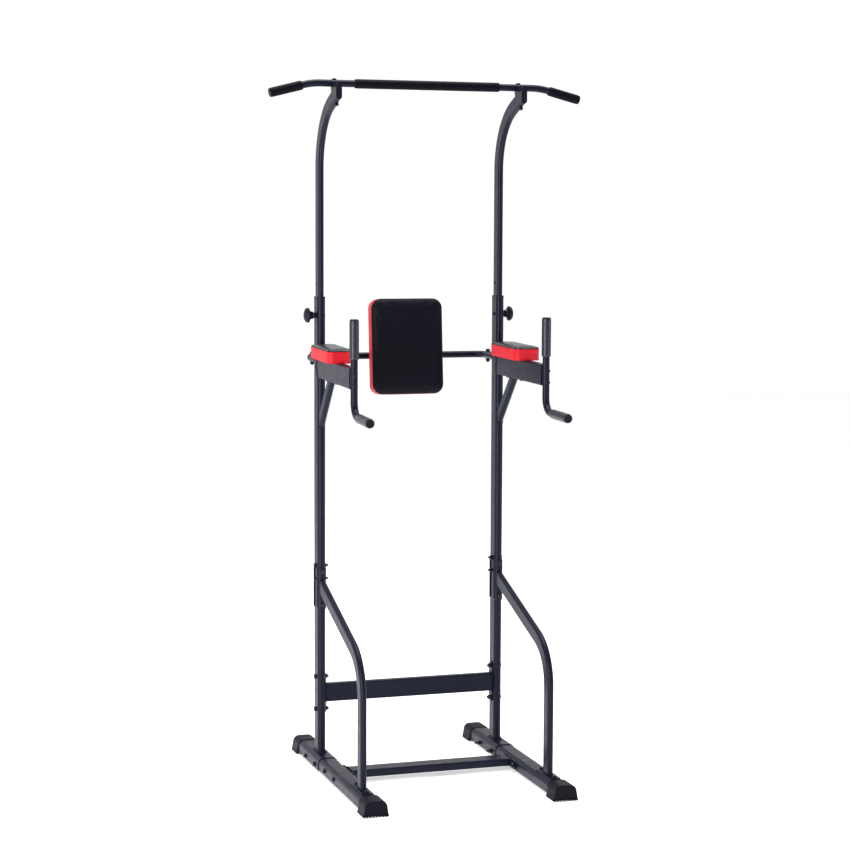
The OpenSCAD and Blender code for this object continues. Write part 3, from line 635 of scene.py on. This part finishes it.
def rounded_outline(half_x, half_y, r, pitch):
    """Points about a pitch apart round a rounded rectangle."""
    out = []
    for sx, sy, start in ((1, 1, 0), (-1, 1, 90), (-1, -1, 180), (1, -1, 270)):
        for k in range(7):
            a = math.radians(start + 90 * k / 6)
            out.append((sx * (half_x - r) + r * math.cos(a), sy * (half_y - r) + r * math.sin(a)))
    out.append(out[0])
    fine = []
    for a, b in zip(out, out[1:]):
        steps = max(1, round(math.dist(a, b) / pitch))
        fine += [(a[0] + (b[0] - a[0]) * k / steps, a[1] + (b[1] - a[1]) * k / steps) for k in range(steps)]
    return fine


def make_foot_cap(side, end):
    """Moulded cap: an arched body with soft front edges on a wide sole with a toothed edge."""
    node = f"{side}_{end}_foot_cap"
    lo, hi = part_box(node)
    tube_lo, tube_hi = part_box(f"{side}_{end}_base_tube")
    mid_x = (lo[0] + hi[0]) / 2
    way = -1 if end == "front" else 1
    outer_y, inner_y = (lo[1], hi[1]) if end == "front" else (hi[1], lo[1])
    wall, edge, sole_t = 0.0022, 0.0035, 0.0062
    body_lift, bore_lift, flare_height = 0.0047, 0.0049, 0.016
    tube_half = (tube_hi[0] - tube_lo[0]) / 2
    rear_lo, rear_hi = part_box(f"{side}_rear_base_tube")
    half = (rear_hi[0] - rear_lo[0]) / 2 + wall
    height = hi[2]
    body_y = outer_y - way * 0.003

    def section(y, inset, flare=0.0, lift=0.0):
        points = []
        shoulder = 0.020 - inset * 0.6
        for x, z in arch_outline(half - inset, height - lift - inset, shoulder, 0.001):
            share = max(0.0, 1 - z / flare_height)
            points.append((mid_x + x + math.copysign(flare * share ** 2, x), y, lift + z))
        return points

    rings = []
    bore = 0.5 * (tube_half + half - wall) if end == "front" else half - wall
    for y, inset in ((body_y - way * 0.006, half - bore), (inner_y + way * 0.0004, half - bore),
                     (inner_y, half - bore - 0.0004), (inner_y, 0.0007), (inner_y + way * 0.0007, 0.0)):
        rings.append(section(y, inset, lift=bore_lift if inset > wall / 2 else body_lift))
    for k in range(1, 9):
        y = inner_y + (body_y - way * edge - inner_y) * k / 8
        rings.append(section(y, 0.0, flare=0.0045, lift=body_lift))
    for k in range(1, 8):
        a = math.pi / 2 * k / 7
        y = body_y - way * edge * (1 - math.sin(a))
        rings.append(section(y, edge * (1 - math.cos(a)), flare=0.0045, lift=body_lift))
    rings.append(section(body_y + way * 0.0003, edge + 0.004, flare=0.003, lift=body_lift))
    rings.append(section(body_y - way * 0.0004, edge + 0.006, flare=0.002, lift=body_lift))
    shape = Shape()
    shape.skin(rings)

    mid_y = (lo[1] + hi[1]) / 2
    reach_x, reach_y = (hi[0] - lo[0]) / 2, (hi[1] - lo[1]) / 2
    outline = rounded_outline(reach_x, reach_y, 0.006, 0.001)
    tooth, depth = 0.0100, 0.0043

    def row(inset, level, toothed):
        ring, run = [], 0.0
        for (x, y), after in zip(outline, outline[1:] + outline[:1]):
            wave = min(1.0, max(0.0, 2.4 * abs((run / tooth) % 1 * 2 - 1) - 0.8))
            z = level + (depth * wave if toothed else 0.0)
            notch = 0.0008 * wave if toothed else 0.0
            k = 1 - (inset + notch) / min(reach_x, reach_y)
            ring.append((mid_x + x * k, mid_y + y * k, z))
            run += math.dist((x, y), after)
        return ring

    shape.skin([row(0.006, 0.0046, False), row(0.0035, 0.0, True), row(0.0004, 0.0, True),
                row(0.0, 0.0008, True), row(0.0, sole_t - 0.0016, False), row(0.0005, sole_t - 0.0004, False),
                row(0.0016, sole_t, False), row(0.012, sole_t + 0.0002, False)])
    shape.piece(f"{side}_{end}_moulded_cap", [RUBBERY], node, (node,), crease=40)


for side in SIDES:
    for end in ("front", "rear"):
        make_foot_cap(side, end)


# ---------------------------------------------------------------- weld beads

PLATE = 0.004
WELD_REACH = 0.12


def cut_loops(node, point, normal):
    """Closed lines where a plane cuts a node, each as its points in order, the longest first.

    The edges are kept in a dict, because a set's order would change from run to run.
    """
    bm = joined(node)
    geom = bm.verts[:] + bm.edges[:] + bm.faces[:]
    cut = bmesh.ops.bisect_plane(bm, geom=geom, plane_co=point, plane_no=normal, dist=1e-7)
    edges = dict.fromkeys(g for g in cut["geom_cut"] if isinstance(g, bmesh.types.BMEdge))
    loops = []
    while edges:
        edge = next(iter(edges))
        del edges[edge]
        chain, tip = [edge.verts[0]], edge.verts[1]
        while tip is not chain[0]:
            chain.append(tip)
            onward = next((e for e in tip.link_edges if e in edges), None)
            if onward is None:
                break
            del edges[onward]
            tip = onward.other_vert(tip)
        if len(chain) > 5:
            loops.append(np.array([v.co[:] for v in chain]))
    bm.free()
    return sorted(loops, key=lambda loop: -np.ptp(loop, axis=0).sum())


def evenly(path, pitch):
    """A closed path with its points a pitch apart."""
    closed = np.vstack([path, path[:1]])
    run = np.concatenate([[0], np.cumsum(np.linalg.norm(np.diff(closed, axis=0), axis=1))])
    count = max(8, round(run[-1] / pitch))
    at = np.linspace(0, run[-1], count, endpoint=False)
    return np.stack([np.interp(at, run, closed[:, k]) for k in range(3)], 1)


def surface_of(node):
    bm = joined(node)
    tree = BVHTree.FromBMesh(bm)
    bm.free()
    return tree


def add_bead(shape, path, radius=0.0021, ripple=0.0027):
    """Rippled bead of weld metal round a closed path."""
    path = evenly(path, ripple / 4)
    middle = path.mean(0)
    rings = []
    for k, p in enumerate(path):
        along = unit(path[(k + 1) % len(path)] - path[k - 1])
        out = p - middle
        out = unit(out - along * (out @ along))
        third = np.cross(along, out)
        r = radius * (1 + 0.13 * math.cos(math.pi * k / 2))
        angles = [2 * math.pi * i / 8 for i in range(8)]
        rings.append([tuple(p + r * (math.cos(a) * out + math.sin(a) * third)) for a in angles])
    shape.skin(rings, loop=True)


def add_joint_weld(shape, tube, at, toward, target, radius=0.0021):
    """Bead where the tube that passes a point meets the target."""
    at, toward = np.array(at, float), unit(np.array(toward, float))
    loops = cut_loops(tube, at, toward)
    loop = min(loops[:6], key=lambda c: np.linalg.norm(c.mean(0) - at) - np.ptp(c, axis=0).sum())
    middle = loop.mean(0)
    surface = surface_of(target)
    path = []
    for p in evenly(loop, 0.002):
        start = p + unit(p - middle) * 0.0004
        hit = surface.ray_cast(Vector(start), Vector(toward), WELD_REACH)[0]
        if hit is None:
            hit = surface.find_nearest(Vector(start + toward * WELD_REACH / 4))[0]
        path.append(np.array(hit))
    add_bead(shape, np.array(path), radius)


def long_axis(node, toward):
    """The middle line of a straight tube: its two ends, the second one towards a direction."""
    points = solids(node)[0]
    _, ways = np.linalg.eigh(np.cov((points - points.mean(0)).T))
    way = ways[:, 2] * (1 if ways[:, 2] @ np.array(toward) > 0 else -1)
    along = points @ way
    middle = points.mean(0)
    return (middle + way * (along.min() - middle @ way), middle + way * (along.max() - middle @ way), way)


def make_side_welds(side):
    shape = Shape()
    foot_lo, foot_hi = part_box(f"{side}_lower_upright")
    x, y = (foot_lo[0] + foot_hi[0]) / 2, (foot_lo[1] + foot_hi[1]) / 2
    foot, base = f"{side}_lower_upright", f"{side}_rear_base_tube"
    add_joint_weld(shape, foot, (x, y, foot_lo[2] + 0.003), (0, 0, -1), base)
    upright = f"{side}_upper_upright"
    _, far, way = long_axis(f"{side}_arm_beam", (0, 1, 0))
    add_joint_weld(shape, f"{side}_arm_beam", far - way * 0.04, way, upright)
    low, high, rise = long_axis(f"{side}_arm_strut", (0, 0, 1))
    middle = (low + high) / 2
    add_joint_weld(shape, f"{side}_arm_strut", middle, rise, f"{side}_arm_beam")
    add_joint_weld(shape, f"{side}_arm_strut", middle, -rise, upright)
    stub_lo, stub_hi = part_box("backrest_stubs")
    stub_z = (stub_lo[2] + stub_hi[2]) / 2
    add_joint_weld(shape, "backrest_stubs", (x, stub_hi[1] - 0.03, stub_z), (0, -1, 0), upright, 0.0018)
    above_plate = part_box(f"{side}_brace")[0][2] + PLATE + 0.0008
    loop = cut_loops(f"{side}_brace", (x, 0, above_plate), (0, 0, 1))[0]
    add_bead(shape, loop, 0.002)
    shape.piece(f"{side}_weld_beads", [WELD], f"{side}_arm_beam", crease=80)


def make_crossbar_welds():
    shape = Shape()
    for node in ("front_crossbar", "rear_crossbar"):
        lo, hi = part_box(node)
        middle = [(a + b) / 2 for a, b in zip(lo, hi)]
        for x in (lo[0] + PLATE + 0.0008, hi[0] - PLATE - 0.0008):
            add_bead(shape, cut_loops(node, (x, middle[1], middle[2]), (1, 0, 0))[0], 0.0019)
    shape.piece("crossbar_weld_beads", [WELD], "rear_crossbar", crease=80)


for side in SIDES:
    make_side_welds(side)
make_crossbar_welds()


# ---------------------------------------------------------------- cushions


class PadFrame:
    """The back or bottom plane of a CAD pad: its middle, its two ways along and the way out."""

    def __init__(self, node, out):
        bm = joined(node)
        areas = {}
        for face in bm.faces:
            key = tuple(round(c, 3) for c in face.normal)
            areas[key] = areas.get(key, 0) + face.calc_area()
        bm.free()
        flat = sorted(areas, key=lambda k: -areas[k])
        self.w = unit(np.array(next(k for k in flat if np.array(k) @ np.array(out) > 0.7)))
        sideways = next(np.array(k) for k in flat if abs(k[0]) > 0.7 and abs(np.array(k) @ self.w) < 0.05)
        self.u = unit(sideways - self.w * (sideways @ self.w)) * math.copysign(1, sideways[0])
        self.v = np.cross(self.w, self.u)
        points = np.vstack(solids(node))
        reach = [(points @ axis).min() for axis in (self.u, self.v, self.w)]
        limit = [(points @ axis).max() for axis in (self.u, self.v, self.w)]
        self.half_u, self.half_v = (limit[0] - reach[0]) / 2, (limit[1] - reach[1]) / 2
        self.thick = limit[2] - reach[2]
        middle_u, middle_v = (limit[0] + reach[0]) / 2, (limit[1] + reach[1]) / 2
        self.origin = middle_u * self.u + middle_v * self.v + reach[2] * self.w

    def at(self, u, v, w):
        return self.origin + u * self.u + v * self.v + w * self.w


def grid_lines(half, radius, cell):
    """Lines across a rounded rectangle: the straight place, and the signed share of the corner."""
    corner = max(3, round(radius * 1.3 / cell))
    inner = half - radius
    middle = 2 * max(1, round(inner / cell))
    lines = [(-inner, k / corner - 1) for k in range(corner)]
    lines += [(-inner + 2 * inner * k / middle, 0.0) for k in range(middle + 1)]
    return lines + [(inner, k / corner) for k in range(1, corner + 1)]


def grid_spot(a, b, radius):
    """Where two grid lines cross, in a rounded rectangle with that corner radius."""
    (x, s), (y, t) = a, b
    return x + radius * s * math.sqrt(1 - t * t / 2), y + radius * t * math.sqrt(1 - s * s / 2)


PRESSURE = 4.0
CLOTH_FRAMES = 20
STAPLE_WIDTH = 0.010


def inflate(ob, pinned, cap):
    """Cloth simulation under pressure; no point moves further than the cap."""
    group = ob.vertex_groups.new(name="pinned")
    group.add([int(i) for i in pinned], 1.0, "REPLACE")
    cloth = ob.modifiers.new("cloth", "CLOTH")
    cloth.settings.quality = 6
    cloth.settings.mass = 0.25
    cloth.settings.tension_stiffness = 18
    cloth.settings.compression_stiffness = 18
    cloth.settings.bending_stiffness = 1.5
    cloth.settings.use_pressure = True
    cloth.settings.uniform_pressure_force = PRESSURE
    cloth.settings.vertex_group_mass = group.name
    cloth.settings.effector_weights.gravity = 0
    cloth.collision_settings.use_collision = False
    scene = bpy.context.scene
    for number in range(1, CLOTH_FRAMES + 1):
        scene.frame_set(number)
    held = ob.evaluated_get(bpy.context.evaluated_depsgraph_get())
    moved = np.array([v.co[:] for v in held.data.vertices])
    rest = np.array([v.co[:] for v in ob.data.vertices])
    shift = moved - rest
    far = np.linalg.norm(shift, axis=1, keepdims=True)
    shift *= np.minimum(1, cap * np.tanh(far / cap) / np.maximum(far, 1e-9))
    ob.modifiers.remove(cloth)
    scene.frame_set(1)
    ob.data.vertices.foreach_set("co", (rest + shift).ravel())
    ob.data.update()


def make_cushion(name, node, out, corner, shoulder, seam_depth, cell, crown, roll, cap, face_look):
    """Boxed cushion: a crowned face panel, a shoulder, a seam and a side band over a flat base."""
    band_rows = 6
    pad = PadFrame(node, out)
    slack = 0.0014
    hu, hv = pad.half_u - slack, pad.half_v - slack
    top = pad.thick - slack - crown
    seam = top - seam_depth
    across, along = grid_lines(hu, corner, cell), grid_lines(hv, corner, cell)
    nu, nv = len(across), len(along)
    shape = Shape()

    def add_grid(radius, level, look, bulge):
        base = len(shape.points)
        for b in along:
            for a in across:
                u, v = grid_spot(a, b, radius)
                inset_here = min(hu - abs(u), hv - abs(v))
                corner_u, corner_v = abs(u) - (hu - corner), abs(v) - (hv - corner)
                if corner_u > 0 and corner_v > 0:
                    inset_here = corner - math.hypot(corner_u, corner_v)
                rise = bulge * (1 - math.exp(-max(0.0, inset_here) / roll))
                shape.points.append(tuple(pad.at(u, v, level + rise)))
        for j in range(nv - 1):
            for i in range(nu - 1):
                k = base + j * nu + i
                shape.face((k, k + 1, k + nu + 1, k + nu), look)
        return base

    edge = [(i, 0) for i in range(nu)] + [(nu - 1, j) for j in range(1, nv)]
    edge += [(i, nv - 1) for i in range(nu - 2, -1, -1)] + [(0, j) for j in range(nv - 2, 0, -1)]
    face_base = add_grid(corner - shoulder, top, 0, crown)
    above = [face_base + j * nu + i for i, j in edge]
    rows = []
    for k in range(1, 5):
        a = math.pi / 2 * k / 4
        drop = min(shoulder, seam_depth * 0.8) * (1 - math.cos(a))
        rows.append((shoulder * (1 - math.sin(a)), top - drop, 0))
    rows += [(0.0, seam + 0.0012, 0), (0.0009, seam, 0), (0.0, seam - 0.0012, 1)]
    rows += [(0.0, seam * (band_rows - k) / band_rows, 1) for k in range(1, band_rows)]
    rows.append((0.0, 0.0008, 1))
    rings = []
    for inset, level, look in rows:
        start = len(shape.points)
        for i, j in edge:
            u, v = grid_spot(across[i], along[j], corner - inset)
            shape.points.append(tuple(pad.at(u, v, level)))
        here = list(range(start, start + len(edge)))
        for k in range(len(edge)):
            n = (k + 1) % len(edge)
            shape.face((above[k], above[n], here[n], here[k]), look)
        rings.append(here)
        above = here
    base = add_grid(corner - 0.0008, 0.0, 2, 0.0)
    below = [base + j * nu + i for i, j in edge]
    for k in range(len(edge)):
        n = (k + 1) % len(edge)
        shape.face((above[k], above[n], below[n], below[k]), 1)
    ob = shape.piece(name, [face_look, RED, BACKING], node, (node,), crease=180)
    seam_row, foot_row = rings[5], rings[-1]
    pinned = set(seam_row) | set(foot_row) | set(range(base, base + nu * nv))
    inflate(ob, sorted(pinned), cap)
    soft = ob.modifiers.new("smooth", "SUBSURF")
    soft.levels = soft.render_levels = 1
    return ob, pad, seam_row


def skin_of(ob):
    bpy.context.view_layer.update()
    return BVHTree.FromObject(ob, bpy.context.evaluated_depsgraph_get())


def add_stitches(shape, path, surface, pitch, length, radius=0.00035):
    """Short threads laid on a surface, end to end along a closed path."""
    path = evenly(path, pitch)
    for k, p in enumerate(path):
        along = unit(path[(k + 1) % len(path)] - path[k - 1])
        spot, normal, _, _ = surface.find_nearest(Vector(p))
        out = np.array(normal)
        along = unit(along - out * (along @ out))
        third = np.cross(along, out)
        middle = np.array(spot) + out * radius * 0.4
        rings = []
        for t, share in ((-0.5, 0.35), (-0.38, 0.9), (0.0, 1.0), (0.38, 0.9), (0.5, 0.35)):
            dip = out * (-radius * 1.3 * (2 * t) ** 4)
            centre = middle + along * length * t + dip
            turn = [2 * math.pi * i / 6 for i in range(6)]
            rings.append([tuple(centre + radius * share * (math.cos(a) * out + math.sin(a) * third))
                          for a in turn])
        shape.skin(rings)


def add_cord_line(shape, path, surface, radius, sink):
    """Thin rolled line that follows a closed path over a surface."""
    path = evenly(path, 0.003)
    rings = []
    for k, p in enumerate(path):
        spot, normal, _, _ = surface.find_nearest(Vector(p))
        out = np.array(normal)
        centre = np.array(spot) - out * sink
        along = unit(path[(k + 1) % len(path)] - path[k - 1])
        out = unit(out - along * (out @ along))
        third = np.cross(along, out)
        turn = [2 * math.pi * i / 8 for i in range(8)]
        rings.append([tuple(centre + radius * (math.cos(a) * out + math.sin(a) * third))
                      for a in turn])
    shape.skin(rings, loop=True)


def add_band_seam(shape, pad, surface, top, radius=0.0008):
    """Rolled seam down the front of the side band, where its two ends are sewn together."""
    rings = []
    for k in range(9):
        guess = pad.at(0.0, -pad.half_v, top + (0.0015 - top) * k / 8)
        spot, normal, _, _ = surface.find_nearest(Vector(guess))
        out = np.array(normal)
        third = np.cross(pad.w, out)
        turn = [2 * math.pi * i / 8 for i in range(8)]
        rings.append([tuple(np.array(spot) + radius * (math.cos(a) * out + math.sin(a) * third))
                      for a in turn])
    shape.skin(rings)


def make_seams(name, node, ob, pad, seam_row, below):
    """Welt in the seam, and a row of stitches below it on the side band."""
    surface = skin_of(ob)
    path = np.array([ob.data.vertices[i].co[:] for i in seam_row])
    welt = Shape()
    add_cord_line(welt, path, surface, radius=0.0009, sink=0.0001)
    welt.piece(f"{name}_welt", [BLACK], node, crease=80)
    stitches = Shape()
    add_stitches(stitches, path - pad.w * below, surface, pitch=0.0046, length=0.0032)
    stitches.piece(f"{name}_stitches", [THREAD], node, crease=80)


def make_hem(name, node, pad, corner, width, staple_pitch):
    """Cover turned over the back of the board, and its row of staples."""
    thick = 0.0009
    hem = Shape()

    def line(inset, level):
        rounding = max(0.004, corner - inset)
        flat = rounded_outline(pad.half_u - inset, pad.half_v - inset, rounding, 0.006)
        return np.array([(u, v, level) for u, v in flat])

    count = None
    rings = []
    for inset, level in ((0.0012, 0.0004), (0.0012, -thick * 0.6), (0.0022, -thick), (width - 0.0006, -thick),
                         (width, -thick * 0.4), (width, 0.0004)):
        path = evenly(line(inset, level), 0.004)
        count = count or len(path)
        run = np.linspace(0, len(path), count, endpoint=False)
        nearest = [path[int(k) % len(path)] for k in run]
        rings.append([tuple(pad.at(*p)) for p in nearest])
    hem.skin(rings, loop=True)
    hem.piece(f"{name}_hem", [RED], node, crease=60)
    staples = Shape()
    path = evenly(line(width * 0.6, 0.0), staple_pitch)
    for k, p in enumerate(path):
        along = unit(path[(k + 1) % len(path)] - path[k - 1])
        aside = np.cross(along, (0, 0, 1))
        rings = []
        for t, drop in ((-0.5, 0.0), (-0.47, 0.0005), (-0.3, 0.0006),
                        (0.3, 0.0006), (0.47, 0.0005), (0.5, 0.0)):
            middle = p + aside * STAPLE_WIDTH * t + np.array((0, 0, -thick - drop + 0.0002))
            square = [(-1, -1), (1, -1), (1, 1), (-1, 1)]
            corners = [middle + along * 0.0006 * a + np.array((0, 0, 0.00025)) * b for a, b in square]
            rings.append([tuple(pad.at(*q)) for q in corners])
        staples.skin(rings)
    staples.piece(f"{name}_staples", [BRIGHT], node, crease=30)


def make_cushions():
    for side in SIDES:
        node = f"{side}_arm_pad"
        name = f"{side}_arm_cushion"
        ob, pad, seam = make_cushion(
            name, node, (0, 0, 1), corner=0.018, shoulder=0.0032, seam_depth=0.0036,
            cell=0.006, crown=0.0024, roll=0.012, cap=0.0034, face_look=PAD_BLACK)
        make_seams(name, node, ob, pad, seam, below=0.0045)
        make_hem(name, node, pad, corner=0.018, width=0.016, staple_pitch=0.028)
        seam_line = Shape()
        add_band_seam(seam_line, pad, skin_of(ob), pad.thick - 0.0085)
        seam_line.piece(f"{name}_band_seam", [RED], node, crease=80)
    node, name = "backrest_pad", "backrest_cushion"
    ob, pad, seam = make_cushion(
        name, node, (0, -1, 0), corner=0.032, shoulder=0.010, seam_depth=0.013,
        cell=0.0075, crown=0.004, roll=0.022, cap=0.0024, face_look=BLACK)
    make_seams(name, node, ob, pad, seam, below=0.005)
    make_hem(name, node, pad, corner=0.032, width=0.020, staple_pitch=0.03)


make_cushions()


# ---------------------------------------------------------------- floor and light


FLOOR_GLOW = 0.5


def make_stage():
    half = 14
    mesh = bpy.data.meshes.new("floor")
    corners = [(-half, -half, 0), (half, -half, 0), (half, half, 0), (-half, half, 0)]
    mesh.from_pydata(corners, [], [(0, 1, 2, 3)])
    floor = bpy.data.objects.new("floor", mesh)
    floor.location.z = -0.0005
    bpy.context.scene.collection.objects.link(floor)
    n = Nodes("pale_floor")
    n.wire(color=(0.93, 0.93, 0.935, 1), rough=0.95, specular=0.05)
    n.shader.inputs["Emission Color"].default_value = (1, 1, 1, 1)
    n.shader.inputs["Emission Strength"].default_value = FLOOR_GLOW
    mesh.materials.append(n.mat)


def make_world():
    """White backdrop, whose front and top light the object less than its back and sides do."""
    world = bpy.data.worlds.new("studio")
    bpy.context.scene.world = world
    world.use_nodes = True
    tree = world.node_tree
    back = tree.nodes["Background"]
    coords = tree.nodes.new("ShaderNodeTexCoord")
    split = tree.nodes.new("ShaderNodeSeparateXYZ")
    tree.links.new(coords.outputs["Generated"], split.inputs[0])

    def fade(axis, start, end, low, high):
        ramp = tree.nodes.new("ShaderNodeMapRange")
        ramp.interpolation_type = "SMOOTHSTEP"
        for key, value in (("From Min", start), ("From Max", end), ("To Min", low), ("To Max", high)):
            ramp.inputs[key].default_value = value
        tree.links.new(split.outputs[axis], ramp.inputs["Value"])
        return ramp.outputs["Result"]

    both = tree.nodes.new("ShaderNodeMath")
    both.operation = "MULTIPLY"
    tree.links.new(fade("Y", -0.75, 0.05, 0.32, 1.0), both.inputs[0])
    tree.links.new(fade("Z", 0.25, 0.85, 1.0, 0.45), both.inputs[1])
    seen = tree.nodes.new("ShaderNodeLightPath")
    plain = tree.nodes.new("ShaderNodeMath")
    plain.operation = "MAXIMUM"
    tree.links.new(both.outputs[0], plain.inputs[0])
    tree.links.new(seen.outputs["Is Camera Ray"], plain.inputs[1])
    tree.links.new(plain.outputs[0], back.inputs["Strength"])
    back.inputs["Color"].default_value = (1.03, 1.03, 1.04, 1)


def softbox(name, at, size, power, colour=(1, 1, 1)):
    lamp = bpy.data.lights.new(name, "AREA")
    lamp.shape = "RECTANGLE"
    lamp.size, lamp.size_y = size
    lamp.energy = power
    lamp.color = colour
    ob = bpy.data.objects.new(name, lamp)
    ob.location = at
    aim = Vector((0, 0, 1.1)) - Vector(at)
    ob.rotation_euler = aim.to_track_quat("-Z", "Y").to_euler()
    bpy.context.scene.collection.objects.link(ob)


make_stage()
make_world()
softbox("left_strip", (-3.5, -2.5, 1.4), (0.55, 3.4), 165, (0.95, 0.97, 1.0))
softbox("right_strip", (3.4, -2.7, 1.4), (0.5, 3.4), 32, (0.97, 0.98, 1.0))
softbox("top_softbox", (0.2, 0.4, 5.6), (4.0, 4.0), 300)
bpy.context.scene.view_settings.view_transform = "Standard"
